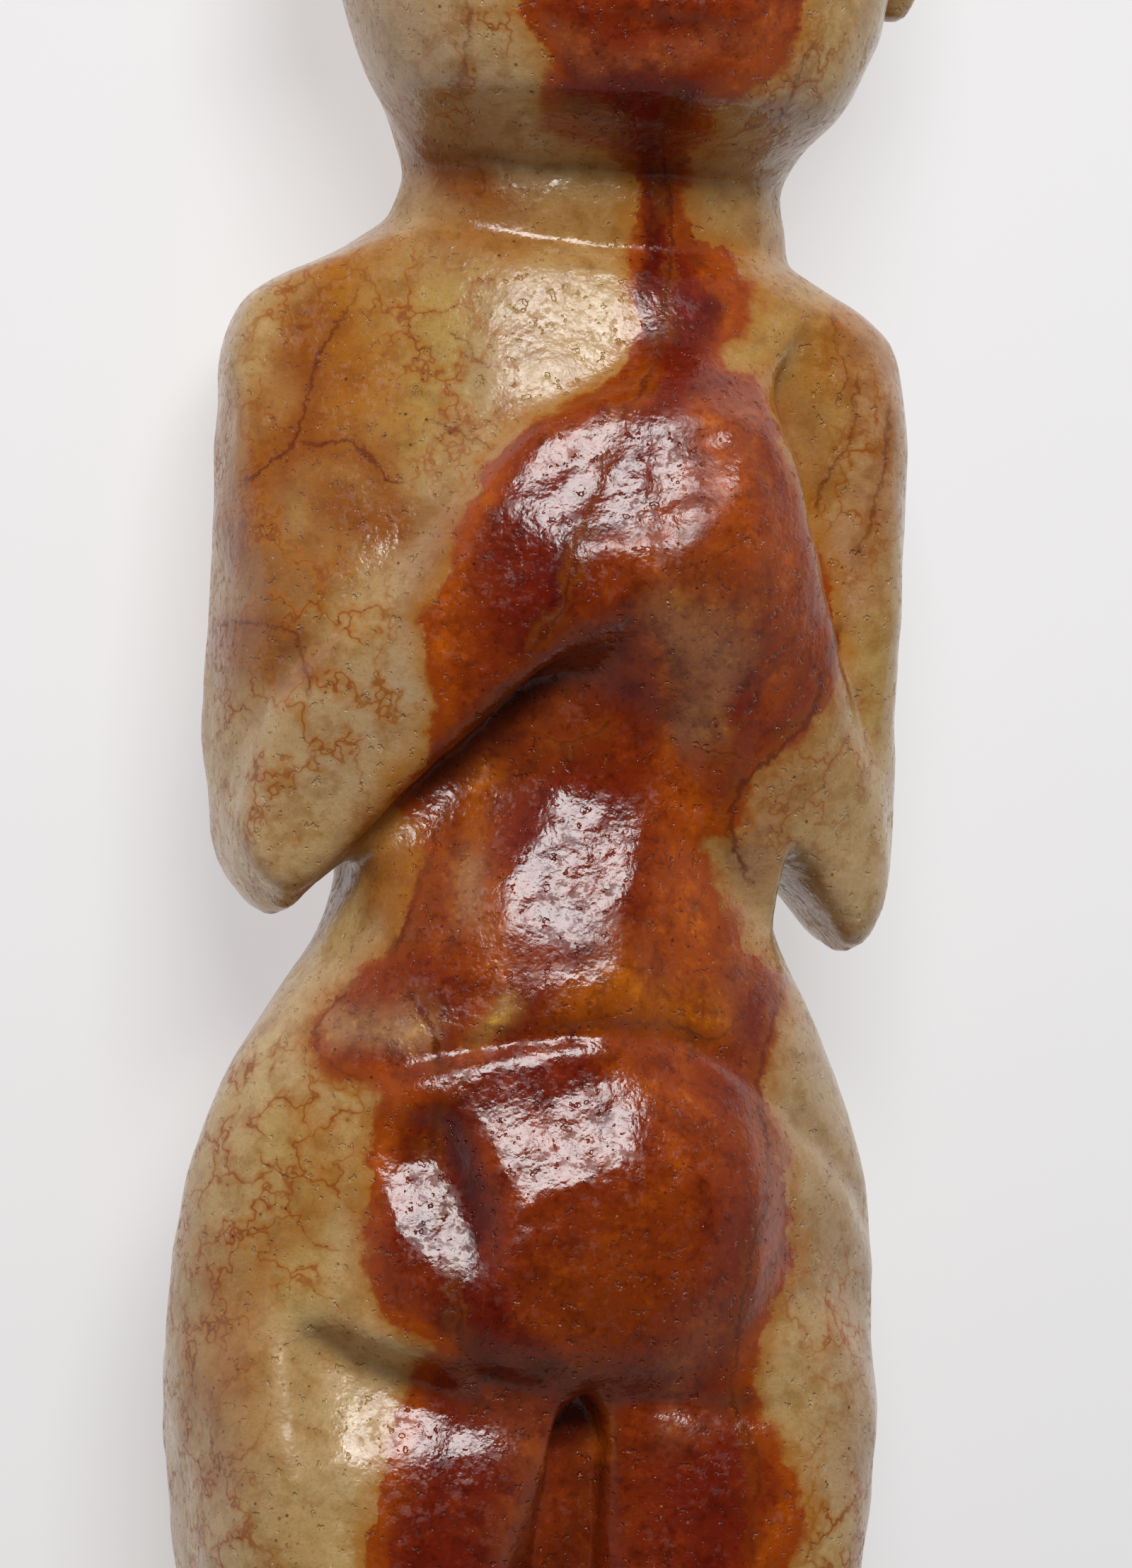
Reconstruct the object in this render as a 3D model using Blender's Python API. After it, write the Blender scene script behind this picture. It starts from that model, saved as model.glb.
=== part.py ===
"""Jade figure: a small nude carved from one stone, hands joined on the chest, lying on its back.

The figure lies along Y, crown at +Y and soles at -Y, with its front up (+Z) and its right-hand
neighbour at +X. It rests on three small flats at z = 0: back of the head, shoulders, buttocks.
The origin is under the middle of its length.
"""
import bpy
import numpy as np

# Driving size, metres
HEIGHT = 0.120

# The pose and carving are shares of the height: every number below counts 120ths of it
SHARE = HEIGHT / 120.0

# Where the surface is sampled, and how many triangles the faceted solid keeps
GRID_STEP = 0.55
GRID_MARGIN = 2.0
TRIANGLES = 9400

CROWN = 60.0
SOLES = -60.0

# Trunk from the neck to the hips: (height on the figure, value)
TRUNK_HALF_WIDTH = [(34, 7.3), (29, 7.65), (26, 8.4), (20, 8.8), (10, 8.6), (4, 8.1), (1, 8.3), (-1, 9.1),
                    (-3, 10.1), (-5, 11.35), (-7, 12.4), (-9, 13.2), (-11, 13.85), (-13, 14.2),
                    (-16, 14.45), (-19, 14.2), (-22, 13.3), (-26, 11.0), (-30, 8.0)]
TRUNK_MIDDLE = [(34, 0.1), (29, 0.2), (26, 0.15), (20, 0), (-4, 0), (-9, -0.12), (-17, -0.12), (-20, 0)]
TRUNK_BACK = [(32, 2.9), (29, 3.2), (25, 1.6), (20, 0.4), (14, 0.6), (6, 1.9), (0, 2.9), (-5, 2.1),
              (-10, 1.4), (-15, 1.0), (-19, 1.2), (-24, 3.0), (-30, 5.0)]
TRUNK_FRONT = [(34, 13.4), (31, 12.1), (29.3, 12.0), (28.1, 12.45), (27.3, 12.5), (26.3, 12.3),
               (20, 13.2), (12, 13.6), (8, 14.2), (3, 15.9), (-2, 17.0), (-6, 17.4), (-12, 17.6),
               (-18, 17.0), (-20, 16.6), (-24, 15.6), (-30, 13.0)]

NECK_TOP = 33.0
TRUNK_END = -28.0
BELLY_CENTRE = (-0.1, -12.7, 10.8)
BELLY_RADII = (9.4, 8.0, 8.6)
BUTTOCK_CENTRE = (5.5, -14.6, 6.9)
BUTTOCK_RADII = (6.6, 6.8, 7.3)

# Upper belly: a blunt ridge right of the middle, steeper on its right side
RIDGE_X = 0.4
RIDGE_ENDS = (-5.6, 14.0)
RIDGE_REACH = 7.6
RIDGE_FRONT = [(14, 17.2), (11, 16.9), (8, 16.6), (5, 16.5), (0, 17.15), (-2, 17.35), (-6, 17.4)]

# Shoulders, chest and upper arms, carved as one flat-sided block
BLOCK_MIDDLE = [(28.6, -0.4), (25, -0.4), (20, -0.35), (9, -0.3), (5, -0.05), (2, 0.2), (-1.5, 0.2)]
BLOCK_HALF_WIDTH = [(28.6, 5.0), (27.4, 6.3), (26.3, 8.2), (25.2, 10.0), (24.2, 12.0), (23.2, 13.15),
                    (22, 13.65), (20, 13.95), (12, 13.95), (4, 14.05), (2, 14.0), (-1.5, 13.75)]
BLOCK_BACK = [(28.6, 4.4), (26, 2.6), (23, 0.3), (19, -0.3), (14, 0.2), (6, 1.6), (2, 2.7), (-1.5, 3.7)]
BLOCK_FRONT = [(28.6, 9.0), (27, 10.9), (26.2, 12.1), (25.4, 13.4), (22, 14.7), (18, 15.7), (14, 16.0),
               (8, 15.2), (2, 13.6), (-1.5, 12.8)]
# Underside of that block across the figure: waist, open notch, hanging elbow, rounded outer corner
LEFT_ELBOW = [(0, 1.2), (8.5, 1.2), (9.2, 0.95), (10.4, -0.15), (11.2, -1.05), (11.6, -1.2), (12.1, -0.95),
              (12.7, -0.4), (13.2, 0.3), (13.6, 1.2), (13.9, 2.2)]
RIGHT_ELBOW = [(0, 1.8), (8.2, 1.8), (9.3, 1.45), (10.2, 0.75), (11.1, -0.15), (11.9, -0.95), (12.4, -1.2),
               (12.9, -0.85), (13.4, 0.1), (13.8, 1.4)]
ELBOW_DEPTH = 9.0
ELBOW_ROUNDING = 0.03

BLOCK_TOP = 28.6
# Forearms: start and end of the middle line (x outward, y), half-width at both ends
LEFT_FOREARM = ((14.05, 1.0), (-0.2, 18.6), 3.05, 3.5)
RIGHT_FOREARM = ((11.0, -0.6), (2.6, 17.8), 3.95, 3.5)
FOREARM_FRONT = [(-0.3, 10.9), (0, 12.6), (0.3, 15.3), (0.6, 17.4), (0.85, 18.5), (1.2, 18.8)]
# Clasped hands, and where their sloping upper left edge starts
HANDS_CENTRE = (1.3, 15.0, 13.3)
HANDS_RADII = (6.3, 6.8, 6.0)
HANDS_PEAK = (1.4, 21.6)
HANDS_SLOPE = 0.54
# Front of the chest in the hollow under the left forearm
HOLLOW_FRONT = 13.2

# Legs, each mirrored about a middle line that lies a little to the right
LEG_MIDDLE = 0.28
LEG_CENTRE = [(-14, 6.9), (-20, 7.1), (-26, 6.9), (-31, 6.4), (-36, 5.75), (-40, 5.25), (-46, 5.0),
              (-52, 4.5), (-60, 4.3)]
LEG_HALF_WIDTH = [(-14, 5.0), (-20, 6.95), (-26, 6.75), (-31, 6.15), (-36, 5.35), (-40, 4.85),
                  (-44, 4.85), (-48, 4.4), (-52, 3.6), (-55, 3.2), (-60, 3.3)]
# Fullness at the inner side of the left thigh; line of the groin above it, its lean and its inner end
GROIN_CENTRE = (-3.5, -23.2, 9.6)
GROIN_RADII = (3.1, 5.0, 7.5)
GROIN_LINE = (-11.0, -17.0, 0.31)
GROIN_INNER = -1.2
LEG_BACK = [(-14, 1), (-19, 0.1), (-24, 1.0), (-30, 2.4), (-38, 3.6), (-44, 2.8), (-50, 3.8), (-55, 4.9),
            (-60, 5.2)]
LEG_FRONT = [(-14, 16.5), (-20, 16.8), (-25, 17.2), (-31, 17.0), (-36, 16.2), (-40, 15.4), (-44, 13.9),
             (-50, 12.7), (-55, 11.8), (-60, 11.6)]
HIP_JOIN = -15.0
FOOT_CENTRE = (4.35, -59.2, 10.4)
FOOT_RADII = (3.9, 3.5, 7.1)
# Flats on the chest, hands, waist, belly and left thigh: a point on each, and how they tilt
CHEST_FLAT = (-2.0, 23.5, 13.95)
WAIST_FLAT = (-1.5, 2.3, 16.1)
WAIST_DROP = 0.30
HANDS_FLAT = (-3.5, 16.2, 17.35)
HANDS_RISE = 0.33
BELLY_FLAT = (-3.1, -9.2, 18.2)
BELLY_SIDE = (-7.0, -12.8, 17.15)
THIGH_FLAT = (-4.2, -19.6, 15.7)
FLAT_RISE = 0.21
FLAT_DROP = 0.37
# Left of these the chest and the waist fall away more: x, and a point on a line to the left hip
CHEST_EDGE = -5.0
CHEST_FALL = 0.36
WAIST_EDGE = (0.15, 7.0)
WAIST_FALL = 0.38
# Above this the waist swells forward again, into the hands
WAIST_TOP = 4.6
WAIST_SWELL = 0.5
# Left of this the thigh swells forward again, and below this it levels off
THIGH_EDGE = -10.1
THIGH_SWELL = 1.1
THIGH_END = -22.7
THIGH_LEVEL = 0.25
# Top of the side of the belly, and the fold right of it: a point on it, and how it leans
BELLY_TOP = -7.8
BELLY_FOLD = (-5.2, -10.9, 0.35)
# Where the right forearm runs softly into the belly, how far that reaches and how soft it is
FOREARM_MELT = (3.6, 3.6, 2.4)
# Thin web between the legs: half-width and back
WEB_HALF_WIDTH = 2.4
WEB_BACK = 5.2
# Flat-floored slot between the legs
SLOT_TOP = -19.3
SLOT_FLOOR = [(-60, 9.0), (-56, 9.2), (-50, 9.8), (-42, 11.8), (-34, 13.8), (-27, 14.7), (-19, 14.9)]
SLOT_HALF_WIDTH = [(-60, 0.9), (-40, 1.05), (-27, 1.35), (-22, 1.2), (-20.4, 0.95), (-19.2, 0.02)]

# Head: jaw and cheeks as sections, then a rounded skull
JAW_TOP = 48.0
JAW_BOTTOM = 29.6
JAW_HALF_WIDTH = [(28, 7.0), (30, 8.0), (31, 8.7), (32, 9.5), (33, 10.05), (34, 10.45), (36, 11.05),
                  (39, 11.6), (43, 11.9), (48, 11.6)]
JAW_BACK = [(28, 3.8), (31, 3.0), (34, 1.8), (38, 0.7), (44, 0.2), (48, 0.2)]
JAW_FRONT = [(28, 13.0), (30, 14.2), (31.2, 16.4), (32.4, 17.7), (35, 18.4), (40, 18.5), (46, 18.2),
             (48, 18.0)]
HAIR_RISE = 0.35
SKULL_CENTRE = (0, 47.4, 9.45)
SKULL_RADII = (12.0, CROWN - HAIR_RISE - SKULL_CENTRE[1], 9.3)
HEAD_MIDDLE = -0.12
EAR_CENTRE = (12.1, 41.4, 8.4)
EAR_RADII = (1.35, 5.3, 2.5)
EAR_HOLLOW = (42.2, 9.0)

# Face on the usual canon: thirds from hairline to chin, eyes at half height, five eyes to the width
CHIN = 31.6
HAIRLINE = 54.4
THIRD = (HAIRLINE - CHIN) / 3
NOSE_BASE = CHIN + THIRD
MOUTH = CHIN + THIRD * 2 / 3
EYE_LINE = (CHIN + CROWN) / 2 - 0.6
BROW = CHIN + 2 * THIRD + 0.6
EYE_WIDTH = 2 * SKULL_RADII[0] / 5
MOUTH_HALF_WIDTH = 0.72 * EYE_WIDTH
NOSE_TIP = (0, NOSE_BASE + 1.6, 17.9)
NOSE_WING = (1.45, NOSE_BASE + 1.3, 17.6)
NOSE_BRIDGE = (0, NOSE_BASE + 4.6, 17.0)

FRONT, BACK = 1, -1
# Cut lines: side, depth, half-width, points (x, y)
CUT_LINES = [
    (FRONT, 0.45, 0.38, [(-9.4, -7.9), (-6.5, -6.5), (-3.7, -5.8), (-1.2, -5.3), (1.2, -5.1), (4.6, -5.5),
                         (7.6, -7.4)]),
    (FRONT, 0.35, 0.55, [(-11.0, -16.4), (-8.15, -17.6), (-5.6, -18.4), (-2.95, -19.1), (-0.3, -19.6)]),
    (FRONT, 0.35, 0.50, [(1.6, -19.7), (4.1, -19.8), (7.3, -20.0), (9.6, -19.7)]),
    (FRONT, 0.35, 0.50, [(7.3, -7.2), (9.5, -8.6), (11.35, -9.9), (12.85, -11.6), (13.9, -13.3)]),
    (FRONT, 0.16, 0.35, [(-6.4, 25.6), (-3.1, 25.9), (0.3, 25.9), (3.6, 25.6)]),
    (BACK, 0.45, 0.80, [(0, 25), (0, 12), (0, 1)]),
    (BACK, 0.80, 0.80, [(0, -6.5), (0, -13), (0, -21)]),
    (BACK, 0.60, 0.60, [(-12.4, -19.4), (-7.0, -21.2), (-1.6, -20.6)]),
    (BACK, 0.60, 0.60, [(12.4, -19.4), (7.0, -21.2), (1.6, -20.6)]),
    (BACK, 0.50, 0.55, [(-9.2, 20.5), (-9.9, 12), (-8.8, 2.2)]),
    (BACK, 0.50, 0.55, [(8.4, 20.5), (9.3, 12), (8.6, 2.0)]),
]
CUT_REACH = 1.6
PINCH_PASSES = 3
PINCH_FILL = 0.001


def curve(at, points):
    """Smooth curve without overshoot through (position, value) points, level past both ends."""
    points = sorted(points)
    xs = np.array([p[0] for p in points], float)
    ys = np.array([p[1] for p in points], float)
    slope = np.diff(ys) / np.diff(xs)
    tangent = np.zeros(len(xs))
    same = slope[:-1] * slope[1:] > 0
    tangent[1:-1][same] = 2 * (slope[:-1] * slope[1:])[same] / (slope[:-1] + slope[1:])[same]
    return hermite(np.clip(at, xs[0], xs[-1]), xs, ys, tangent)


def hermite(at, xs, ys, tangent):
    """Cubic through the values ys at xs with the given tangents."""
    i = np.clip(np.searchsorted(xs, at) - 1, 0, len(xs) - 2)
    h = xs[i + 1] - xs[i]
    t = (at - xs[i]) / h
    return ((1 + 2 * t) * (1 - t) ** 2 * ys[i] + t * (1 - t) ** 2 * h * tangent[i]
            + t * t * (3 - 2 * t) * ys[i + 1] + t * t * (t - 1) * h * tangent[i + 1])


def either(a, b, fillet):
    """Union of two fields, below zero inside, with a rounded inner corner."""
    h = np.clip(0.5 + 0.5 * (b - a) / fillet, 0, 1)
    return b * (1 - h) + a * h - fillet * h * (1 - h)


def both(a, b, fillet):
    """What two fields share, with a rounded edge."""
    return -either(-a, -b, fillet)


def rounded(offsets, radii, power):
    """Near distance to a rounded box: an ellipse or ellipsoid where power is 2, boxier above."""
    p = [np.abs(d) / r for d, r in zip(offsets, radii)]
    k = sum(q ** power for q in p) ** (1 / power) + 1e-9
    slope = sum(((q / k) ** (power - 1) / r) ** 2 for q, r in zip(p, radii))
    return (k - 1) / np.sqrt(slope + 1e-9)


def boss(x, y, z, centre, radii, power):
    """A rounded box about a centre; with x as distance from the middle plane it is a pair."""
    return rounded((x - centre[0], y - centre[1], z - centre[2]), radii, power)


def loft(x, y, z, middle, half_width, back, front, power):
    """Sections stacked up the figure, each a rounded shape between its back and front."""
    zb, zf = curve(y, back), curve(y, front)
    return rounded((x - middle, z - (zb + zf) / 2), (curve(y, half_width), (zf - zb) / 2), power)


def trunk(x, y, z):
    core = loft(x, y, z, curve(y, TRUNK_MIDDLE), TRUNK_HALF_WIDTH, TRUNK_BACK, TRUNK_FRONT, 2.15)
    core = both(core, y - NECK_TOP, 1)
    core = both(core, TRUNK_END - y, 1)
    off = x - RIDGE_X
    fall = np.where(off < 0, 0.035 * off * off, 0.05 * off * off) + 0.175 * off
    fall = fall + 0.375 * (np.sqrt(off * off + 0.35) - 0.59)
    ridge = (z - curve(y, RIDGE_FRONT) + fall) * 0.85
    low, high = RIDGE_ENDS
    for limit, edge in ((low - y, 0.5), (y - high, 0.5), (np.abs(x) - RIDGE_REACH, 1.0), (6 - z, 0.5)):
        ridge = both(ridge, limit, edge)
    belly = boss(x, y, z, BELLY_CENTRE, BELLY_RADII, 2.9)
    buttocks = boss(np.abs(x), y, z, BUTTOCK_CENTRE, BUTTOCK_RADII, 2.2)
    core = either(core, buttocks, 1.2)
    core = either(core, ridge, 2.2)
    left = past(0.87 * (WAIST_EDGE[0] - x) + 0.49 * (y - WAIST_EDGE[1]), 0.9)
    waist = plane(x, y, z, WAIST_FLAT, drop=WAIST_DROP) + WAIST_FALL * left
    waist = waist - WAIST_SWELL * past(y - WAIST_TOP, 0.6)
    core = both(core, np.where(y < high, waist, -1), 0.6)
    belly = both(belly, plane(x, y, z, BELLY_FLAT), 0.6)
    fold = x - BELLY_FOLD[0] + BELLY_FOLD[2] * (y - BELLY_FOLD[1])
    side = plane(x, y, z, BELLY_SIDE) - 1.3 * past(fold, 0.5)
    return both(either(core, belly, 1.0), either(side, BELLY_TOP - y, 3.5), 0.5)


def below_elbow(x, y, z):
    """Above zero under the elbows and in the notches beside the waist."""
    underside = np.where(x < 0, curve(np.abs(x), LEFT_ELBOW), curve(np.abs(x), RIGHT_ELBOW))
    return (underside + ELBOW_ROUNDING * (z - ELBOW_DEPTH) ** 2 - y) * 0.75


def below_forearm(x, y):
    """Above zero past the lower edge of the left forearm."""
    start, end, wide, _ = LEFT_FOREARM
    run = np.array(end, float) - np.array(start, float)
    run /= np.hypot(*run)
    return (x + start[0]) * run[1] + (y - start[1]) * run[0] - wide


def arm_block(x, y, z):
    block = loft(x, y, z, curve(y, BLOCK_MIDDLE), BLOCK_HALF_WIDTH, BLOCK_BACK, BLOCK_FRONT, 2.8)
    block = both(block, y - BLOCK_TOP, 1)
    chest = plane(x, y, z, CHEST_FLAT) + CHEST_FALL * past(CHEST_EDGE - x, 1.0)
    block = both(block, chest, 0.5)
    block = both(block, either(below_forearm(x, y), z - HOLLOW_FRONT, 0.8), 0.8)
    return both(block, below_elbow(x, y, z), 0.5)


def forearm(x, y, z, side, sizes):
    """One forearm across the chest: along runs from elbow to hand, over runs to its upper edge."""
    start, end, wide_start, wide_end = sizes
    run = np.array(end, float) - np.array(start, float)
    length = np.hypot(*run)
    run /= length
    u = x * side
    along = (u - start[0]) * run[0] + (y - start[1]) * run[1]
    over = (u - start[0]) * run[1] - (y - start[1]) * run[0]
    share = np.clip(along / length, -0.3, 1.2)
    front = curve(share, FOREARM_FRONT) - 0.05 * over * over - 0.30 * over
    wide = wide_start + (wide_end - wide_start) * np.clip(share, 0, 1)
    arm = both(np.abs(over) - wide, (z - front) * 0.93, 1.3)
    for limit, edge in ((-along - 1.5, 2.5), (along - length, 2.0), (u - 13.7, 1.5), (8 - z, 0.5)):
        arm = both(arm, limit, edge)
    return both(arm, np.where(u > 8.3, below_elbow(x, y, z), -1), 0.4)


def arms(x, y, z):
    """Both forearms and the clasped hands where they meet."""
    pair = either(forearm(x, y, z, 1, RIGHT_FOREARM), forearm(x, y, z, -1, LEFT_FOREARM), 0.5)
    hands = boss(x, y, z, HANDS_CENTRE, HANDS_RADII, 2.1)
    above = (y - HANDS_PEAK[1] - HANDS_SLOPE * (x - HANDS_PEAK[0])) * 0.88
    clasped = both(either(pair, hands, 2.2), above, 1.2)
    return both(clasped, plane(x, y, z, HANDS_FLAT, HANDS_RISE), 0.6)


def plane(x, y, z, at, rise=FLAT_RISE, drop=FLAT_DROP):
    """Field of a flat that rises to the right and to the feet, so that it faces up and to the left."""
    return (z - at[2] - rise * (x - at[0]) + drop * (y - at[1])) * 0.91


def past(value, softness):
    """How far a value is above zero, and nothing below, with a soft bend between."""
    return 0.5 * (value + np.sqrt(value * value + softness * softness))


def thigh_flat(x, y, z):
    """Field of the flat on the left thigh, below the line of the groin."""
    flat = plane(x, y, z, THIGH_FLAT) - THIGH_SWELL * past(THIGH_EDGE - x, 1.0)
    flat = flat + THIGH_LEVEL * past(THIGH_END - y, 0.8)
    above = y - GROIN_LINE[1] + GROIN_LINE[2] * (x - GROIN_LINE[0])
    return either(either(flat, -above, 2.0), GROIN_INNER - x, 0.8)


def legs(x, y, z):
    x = x - LEG_MIDDLE
    leg = loft(np.abs(x), y, z, curve(y, LEG_CENTRE), LEG_HALF_WIDTH, LEG_BACK, LEG_FRONT, 3.0)
    leg = either(leg, boss(x, y, z, GROIN_CENTRE, GROIN_RADII, 2.6), 0.8)
    foot = boss(np.abs(x), y, z, FOOT_CENTRE, FOOT_RADII, 2.5)
    web = both(np.abs(x) - WEB_HALF_WIDTH, z - curve(y, SLOT_FLOOR) - 0.6, 0.5)
    web = both(web, WEB_BACK - z, 0.5)
    pair = either(either(leg, foot, 1.6), web, 0.4)
    pair = both(pair, y - HIP_JOIN, 3)
    return both(pair, SOLES - y, 0.7)


def slot(x, y, z):
    """Space cut between the legs, right of the middle and leaning a little to the left as it goes down."""
    width = np.abs(x - 0.75 - 0.03 * (y + 20)) - curve(y, SLOT_HALF_WIDTH)
    space = both(width, curve(y, SLOT_FLOOR) - z, 0.25)
    return both(space, y - SLOT_TOP, 0.3)


def head(x, y, z):
    x = x - HEAD_MIDDLE
    jaw = loft(x, y, z, 0, JAW_HALF_WIDTH, JAW_BACK, JAW_FRONT, 2.2)
    jaw = both(jaw, y - JAW_TOP, 2)
    jaw = both(jaw, JAW_BOTTOM - y, 0.8)
    skull = boss(x, y, z, SKULL_CENTRE, SKULL_RADII, 2.15)
    ears = boss(np.abs(x), y, z, EAR_CENTRE, EAR_RADII, 2.5)
    tip = boss(x, y, z, NOSE_TIP, (1.75, 1.8, 2.2), 2)
    wings = boss(np.abs(x), y, z, NOSE_WING, (0.95, 1.05, 1.5), 2)
    bridge = boss(x, y, z, NOSE_BRIDGE, (1.2, 4.8, 2.4), 2)
    nose = either(either(tip, bridge, 0.8), wings, 0.5)
    whole = either(either(jaw, skull, 1.2), ears, 0.3)
    return either(whole, nose, 0.8)


def step(value, width):
    """0 below zero, 1 above, smooth over the width."""
    t = np.clip(0.5 + value / width, 0, 1)
    return t * t * (3 - 2 * t)


def face_cut(x, y, z):
    """Low relief of the face and the edge of the hair, positive where stone is taken away."""
    x = np.abs(x - HEAD_MIDDLE)
    eye_x = x - EYE_WIDTH
    eye_y = y - EYE_LINE
    lid = np.abs(eye_y) - 0.23 * EYE_WIDTH * (1 - (2 * eye_x / EYE_WIDTH) ** 2)
    cut = 0.55 * np.exp(-(eye_x / 3.0) ** 2 - ((eye_y - 0.2) / 1.7) ** 2)
    cut = cut - 0.50 * step(-lid, 0.7) + 0.22 * np.exp(-(lid / 0.34) ** 2)
    brow_y = y - BROW + 0.035 * eye_x * eye_x
    cut = cut - 0.40 * np.exp(-(brow_y / 0.75) ** 2 - (eye_x / 3.4) ** 4)
    lips_y = y - MOUTH
    across = (x / MOUTH_HALF_WIDTH) ** 2
    cut = cut - 0.50 * np.exp(-((lips_y - 0.75) / 0.62) ** 2 - across ** 2)
    cut = cut - 0.52 * np.exp(-((lips_y + 0.85) / 0.70) ** 2 - (1.25 * across) ** 2)
    cut = cut + 0.42 * np.exp(-(lips_y / 0.36) ** 2 - across ** 3)
    cut = cut + 0.25 * np.exp(-((lips_y + 2.1) / 0.7) ** 2 - across)
    cut = cut - 0.30 * np.exp(-((x - 6.3) / 2.8) ** 2 - ((y - NOSE_BASE - 1.5) / 2.8) ** 2)
    cut = cut - 0.45 * np.exp(-(x / 3.2) ** 2 - ((y - CHIN - 1.7) / 1.4) ** 2)
    cut = cut * step(z - 11, 3)
    hair = y - HAIRLINE + 0.80 * (18.2 - z) - 0.02 * x * x
    return cut - HAIR_RISE * step(hair, 0.5)


def ear_cut(x, y, z):
    """Hollow of each ear, seen from the side."""
    hollow = np.exp(-((y - EAR_HOLLOW[0]) / 2.6) ** 2 - ((z - EAR_HOLLOW[1]) / 0.95) ** 2)
    return 0.5 * hollow * step(np.abs(x) - EAR_CENTRE[0] - 0.2, 0.6)


def line_cut(x, y, facing):
    """Depth of the cut lines; facing is how far the surface looks to the front."""
    cut = np.zeros(x.shape)
    for side, depth, half_width, points in CUT_LINES:
        away, share = from_line(x, y, points)
        taper = np.clip(4 * np.minimum(share, 1 - share), 0.1, 1)
        shown = np.clip(2.5 * facing * side + 0.2, 0, 1)
        cut += depth * taper * shown * np.exp(-(away / half_width) ** 2)
    return cut


def from_line(x, y, points):
    """Distance to a smooth line through points, and the share of it that is run there."""
    p = np.array(points, float)
    run = np.concatenate([[0], np.cumsum(np.hypot(*np.diff(p, axis=0).T))])
    fine = np.linspace(0, run[-1], 4 * len(p) + 1)
    line = np.stack([hermite(fine, run, p[:, i], np.gradient(p[:, i], run)) for i in (0, 1)], 1)
    best = np.full(x.shape, np.inf)
    share = np.zeros(x.shape)
    for i, (a, d) in enumerate(zip(line[:-1], np.diff(line, axis=0))):
        t = np.clip(((x - a[0]) * d[0] + (y - a[1]) * d[1]) / (d @ d), 0, 1)
        away = np.hypot(x - a[0] - t * d[0], y - a[1] - t * d[1])
        nearer = away < best
        best = np.where(nearer, away, best)
        share = np.where(nearer, (i + t) / (len(line) - 1), share)
    return best, share


def figure(x, y, z):
    """Field of the whole figure before its fine cuts."""
    body = either(trunk(x, y, z), arm_block(x, y, z), 0.7)
    body = either(body, legs(x, y, z), 1.6)
    body = both(body, thigh_flat(x, y, z), 1.0)
    body = both(body, -slot(x, y, z), 0.45)
    middle, reach, melt = FOREARM_MELT
    soft = melt * np.exp(-((x - middle) / reach) ** 4) * step(y - 2, 3)
    body = either(body, arms(x, y, z), 0.5 + soft)
    return either(body, head(x, y, z), 1.8)


def sample(spacing):
    """The carved field on a grid: its values, first corner and spacing."""
    widest = max(width for points in (TRUNK_HALF_WIDTH, BLOCK_HALF_WIDTH) for _, width in points)
    deepest = max(HANDS_CENTRE[2] + HANDS_RADII[2], BELLY_CENTRE[2] + BELLY_RADII[2], NOSE_TIP[2])
    low = np.array((-widest - GRID_MARGIN, min(SOLES, FOOT_CENTRE[1] - FOOT_RADII[1]) - 2, -GRID_MARGIN))
    high = np.array((widest + GRID_MARGIN, CROWN + GRID_MARGIN, deepest + 2 * GRID_MARGIN))
    axes = [np.arange(a, b + spacing, spacing) for a, b in zip(low, high)]
    x, y, z = np.meshgrid(*axes, indexing="ij")
    field = figure(x, y, z)
    gx, gy, gz = np.gradient(field, spacing)
    near = np.abs(field) < CUT_REACH
    facing = (gz / np.sqrt(gx * gx + gy * gy + gz * gz + 1e-9))[near]
    x, y, z = x[near], y[near], z[near]
    field[near] += line_cut(x, y, facing) + face_cut(x, y, z) * step(y - 30, 1.5) + ear_cut(x, y, z)
    close_pinches(field)
    return field, low, spacing


def close_pinches(field):
    """Fill grid faces whose inside corners touch only across a diagonal, so no two skins share an edge."""
    for _ in range(PINCH_PASSES):
        for b, c in ((0, 1), (0, 2), (1, 2)):
            corner = {}
            for at in np.ndindex(2, 2):
                window = [slice(None)] * 3
                window[b] = slice(at[0], field.shape[b] - 1 + at[0])
                window[c] = slice(at[1], field.shape[c] - 1 + at[1])
                corner[at] = field[tuple(window)]
            inside = {at: value < 0 for at, value in corner.items()}
            pinched = (inside[0, 0] == inside[1, 1]) & (inside[0, 1] == inside[1, 0])
            pinched &= inside[0, 0] != inside[0, 1]
            for at, value in corner.items():
                value[pinched & ~inside[at]] = -PINCH_FILL


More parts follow.
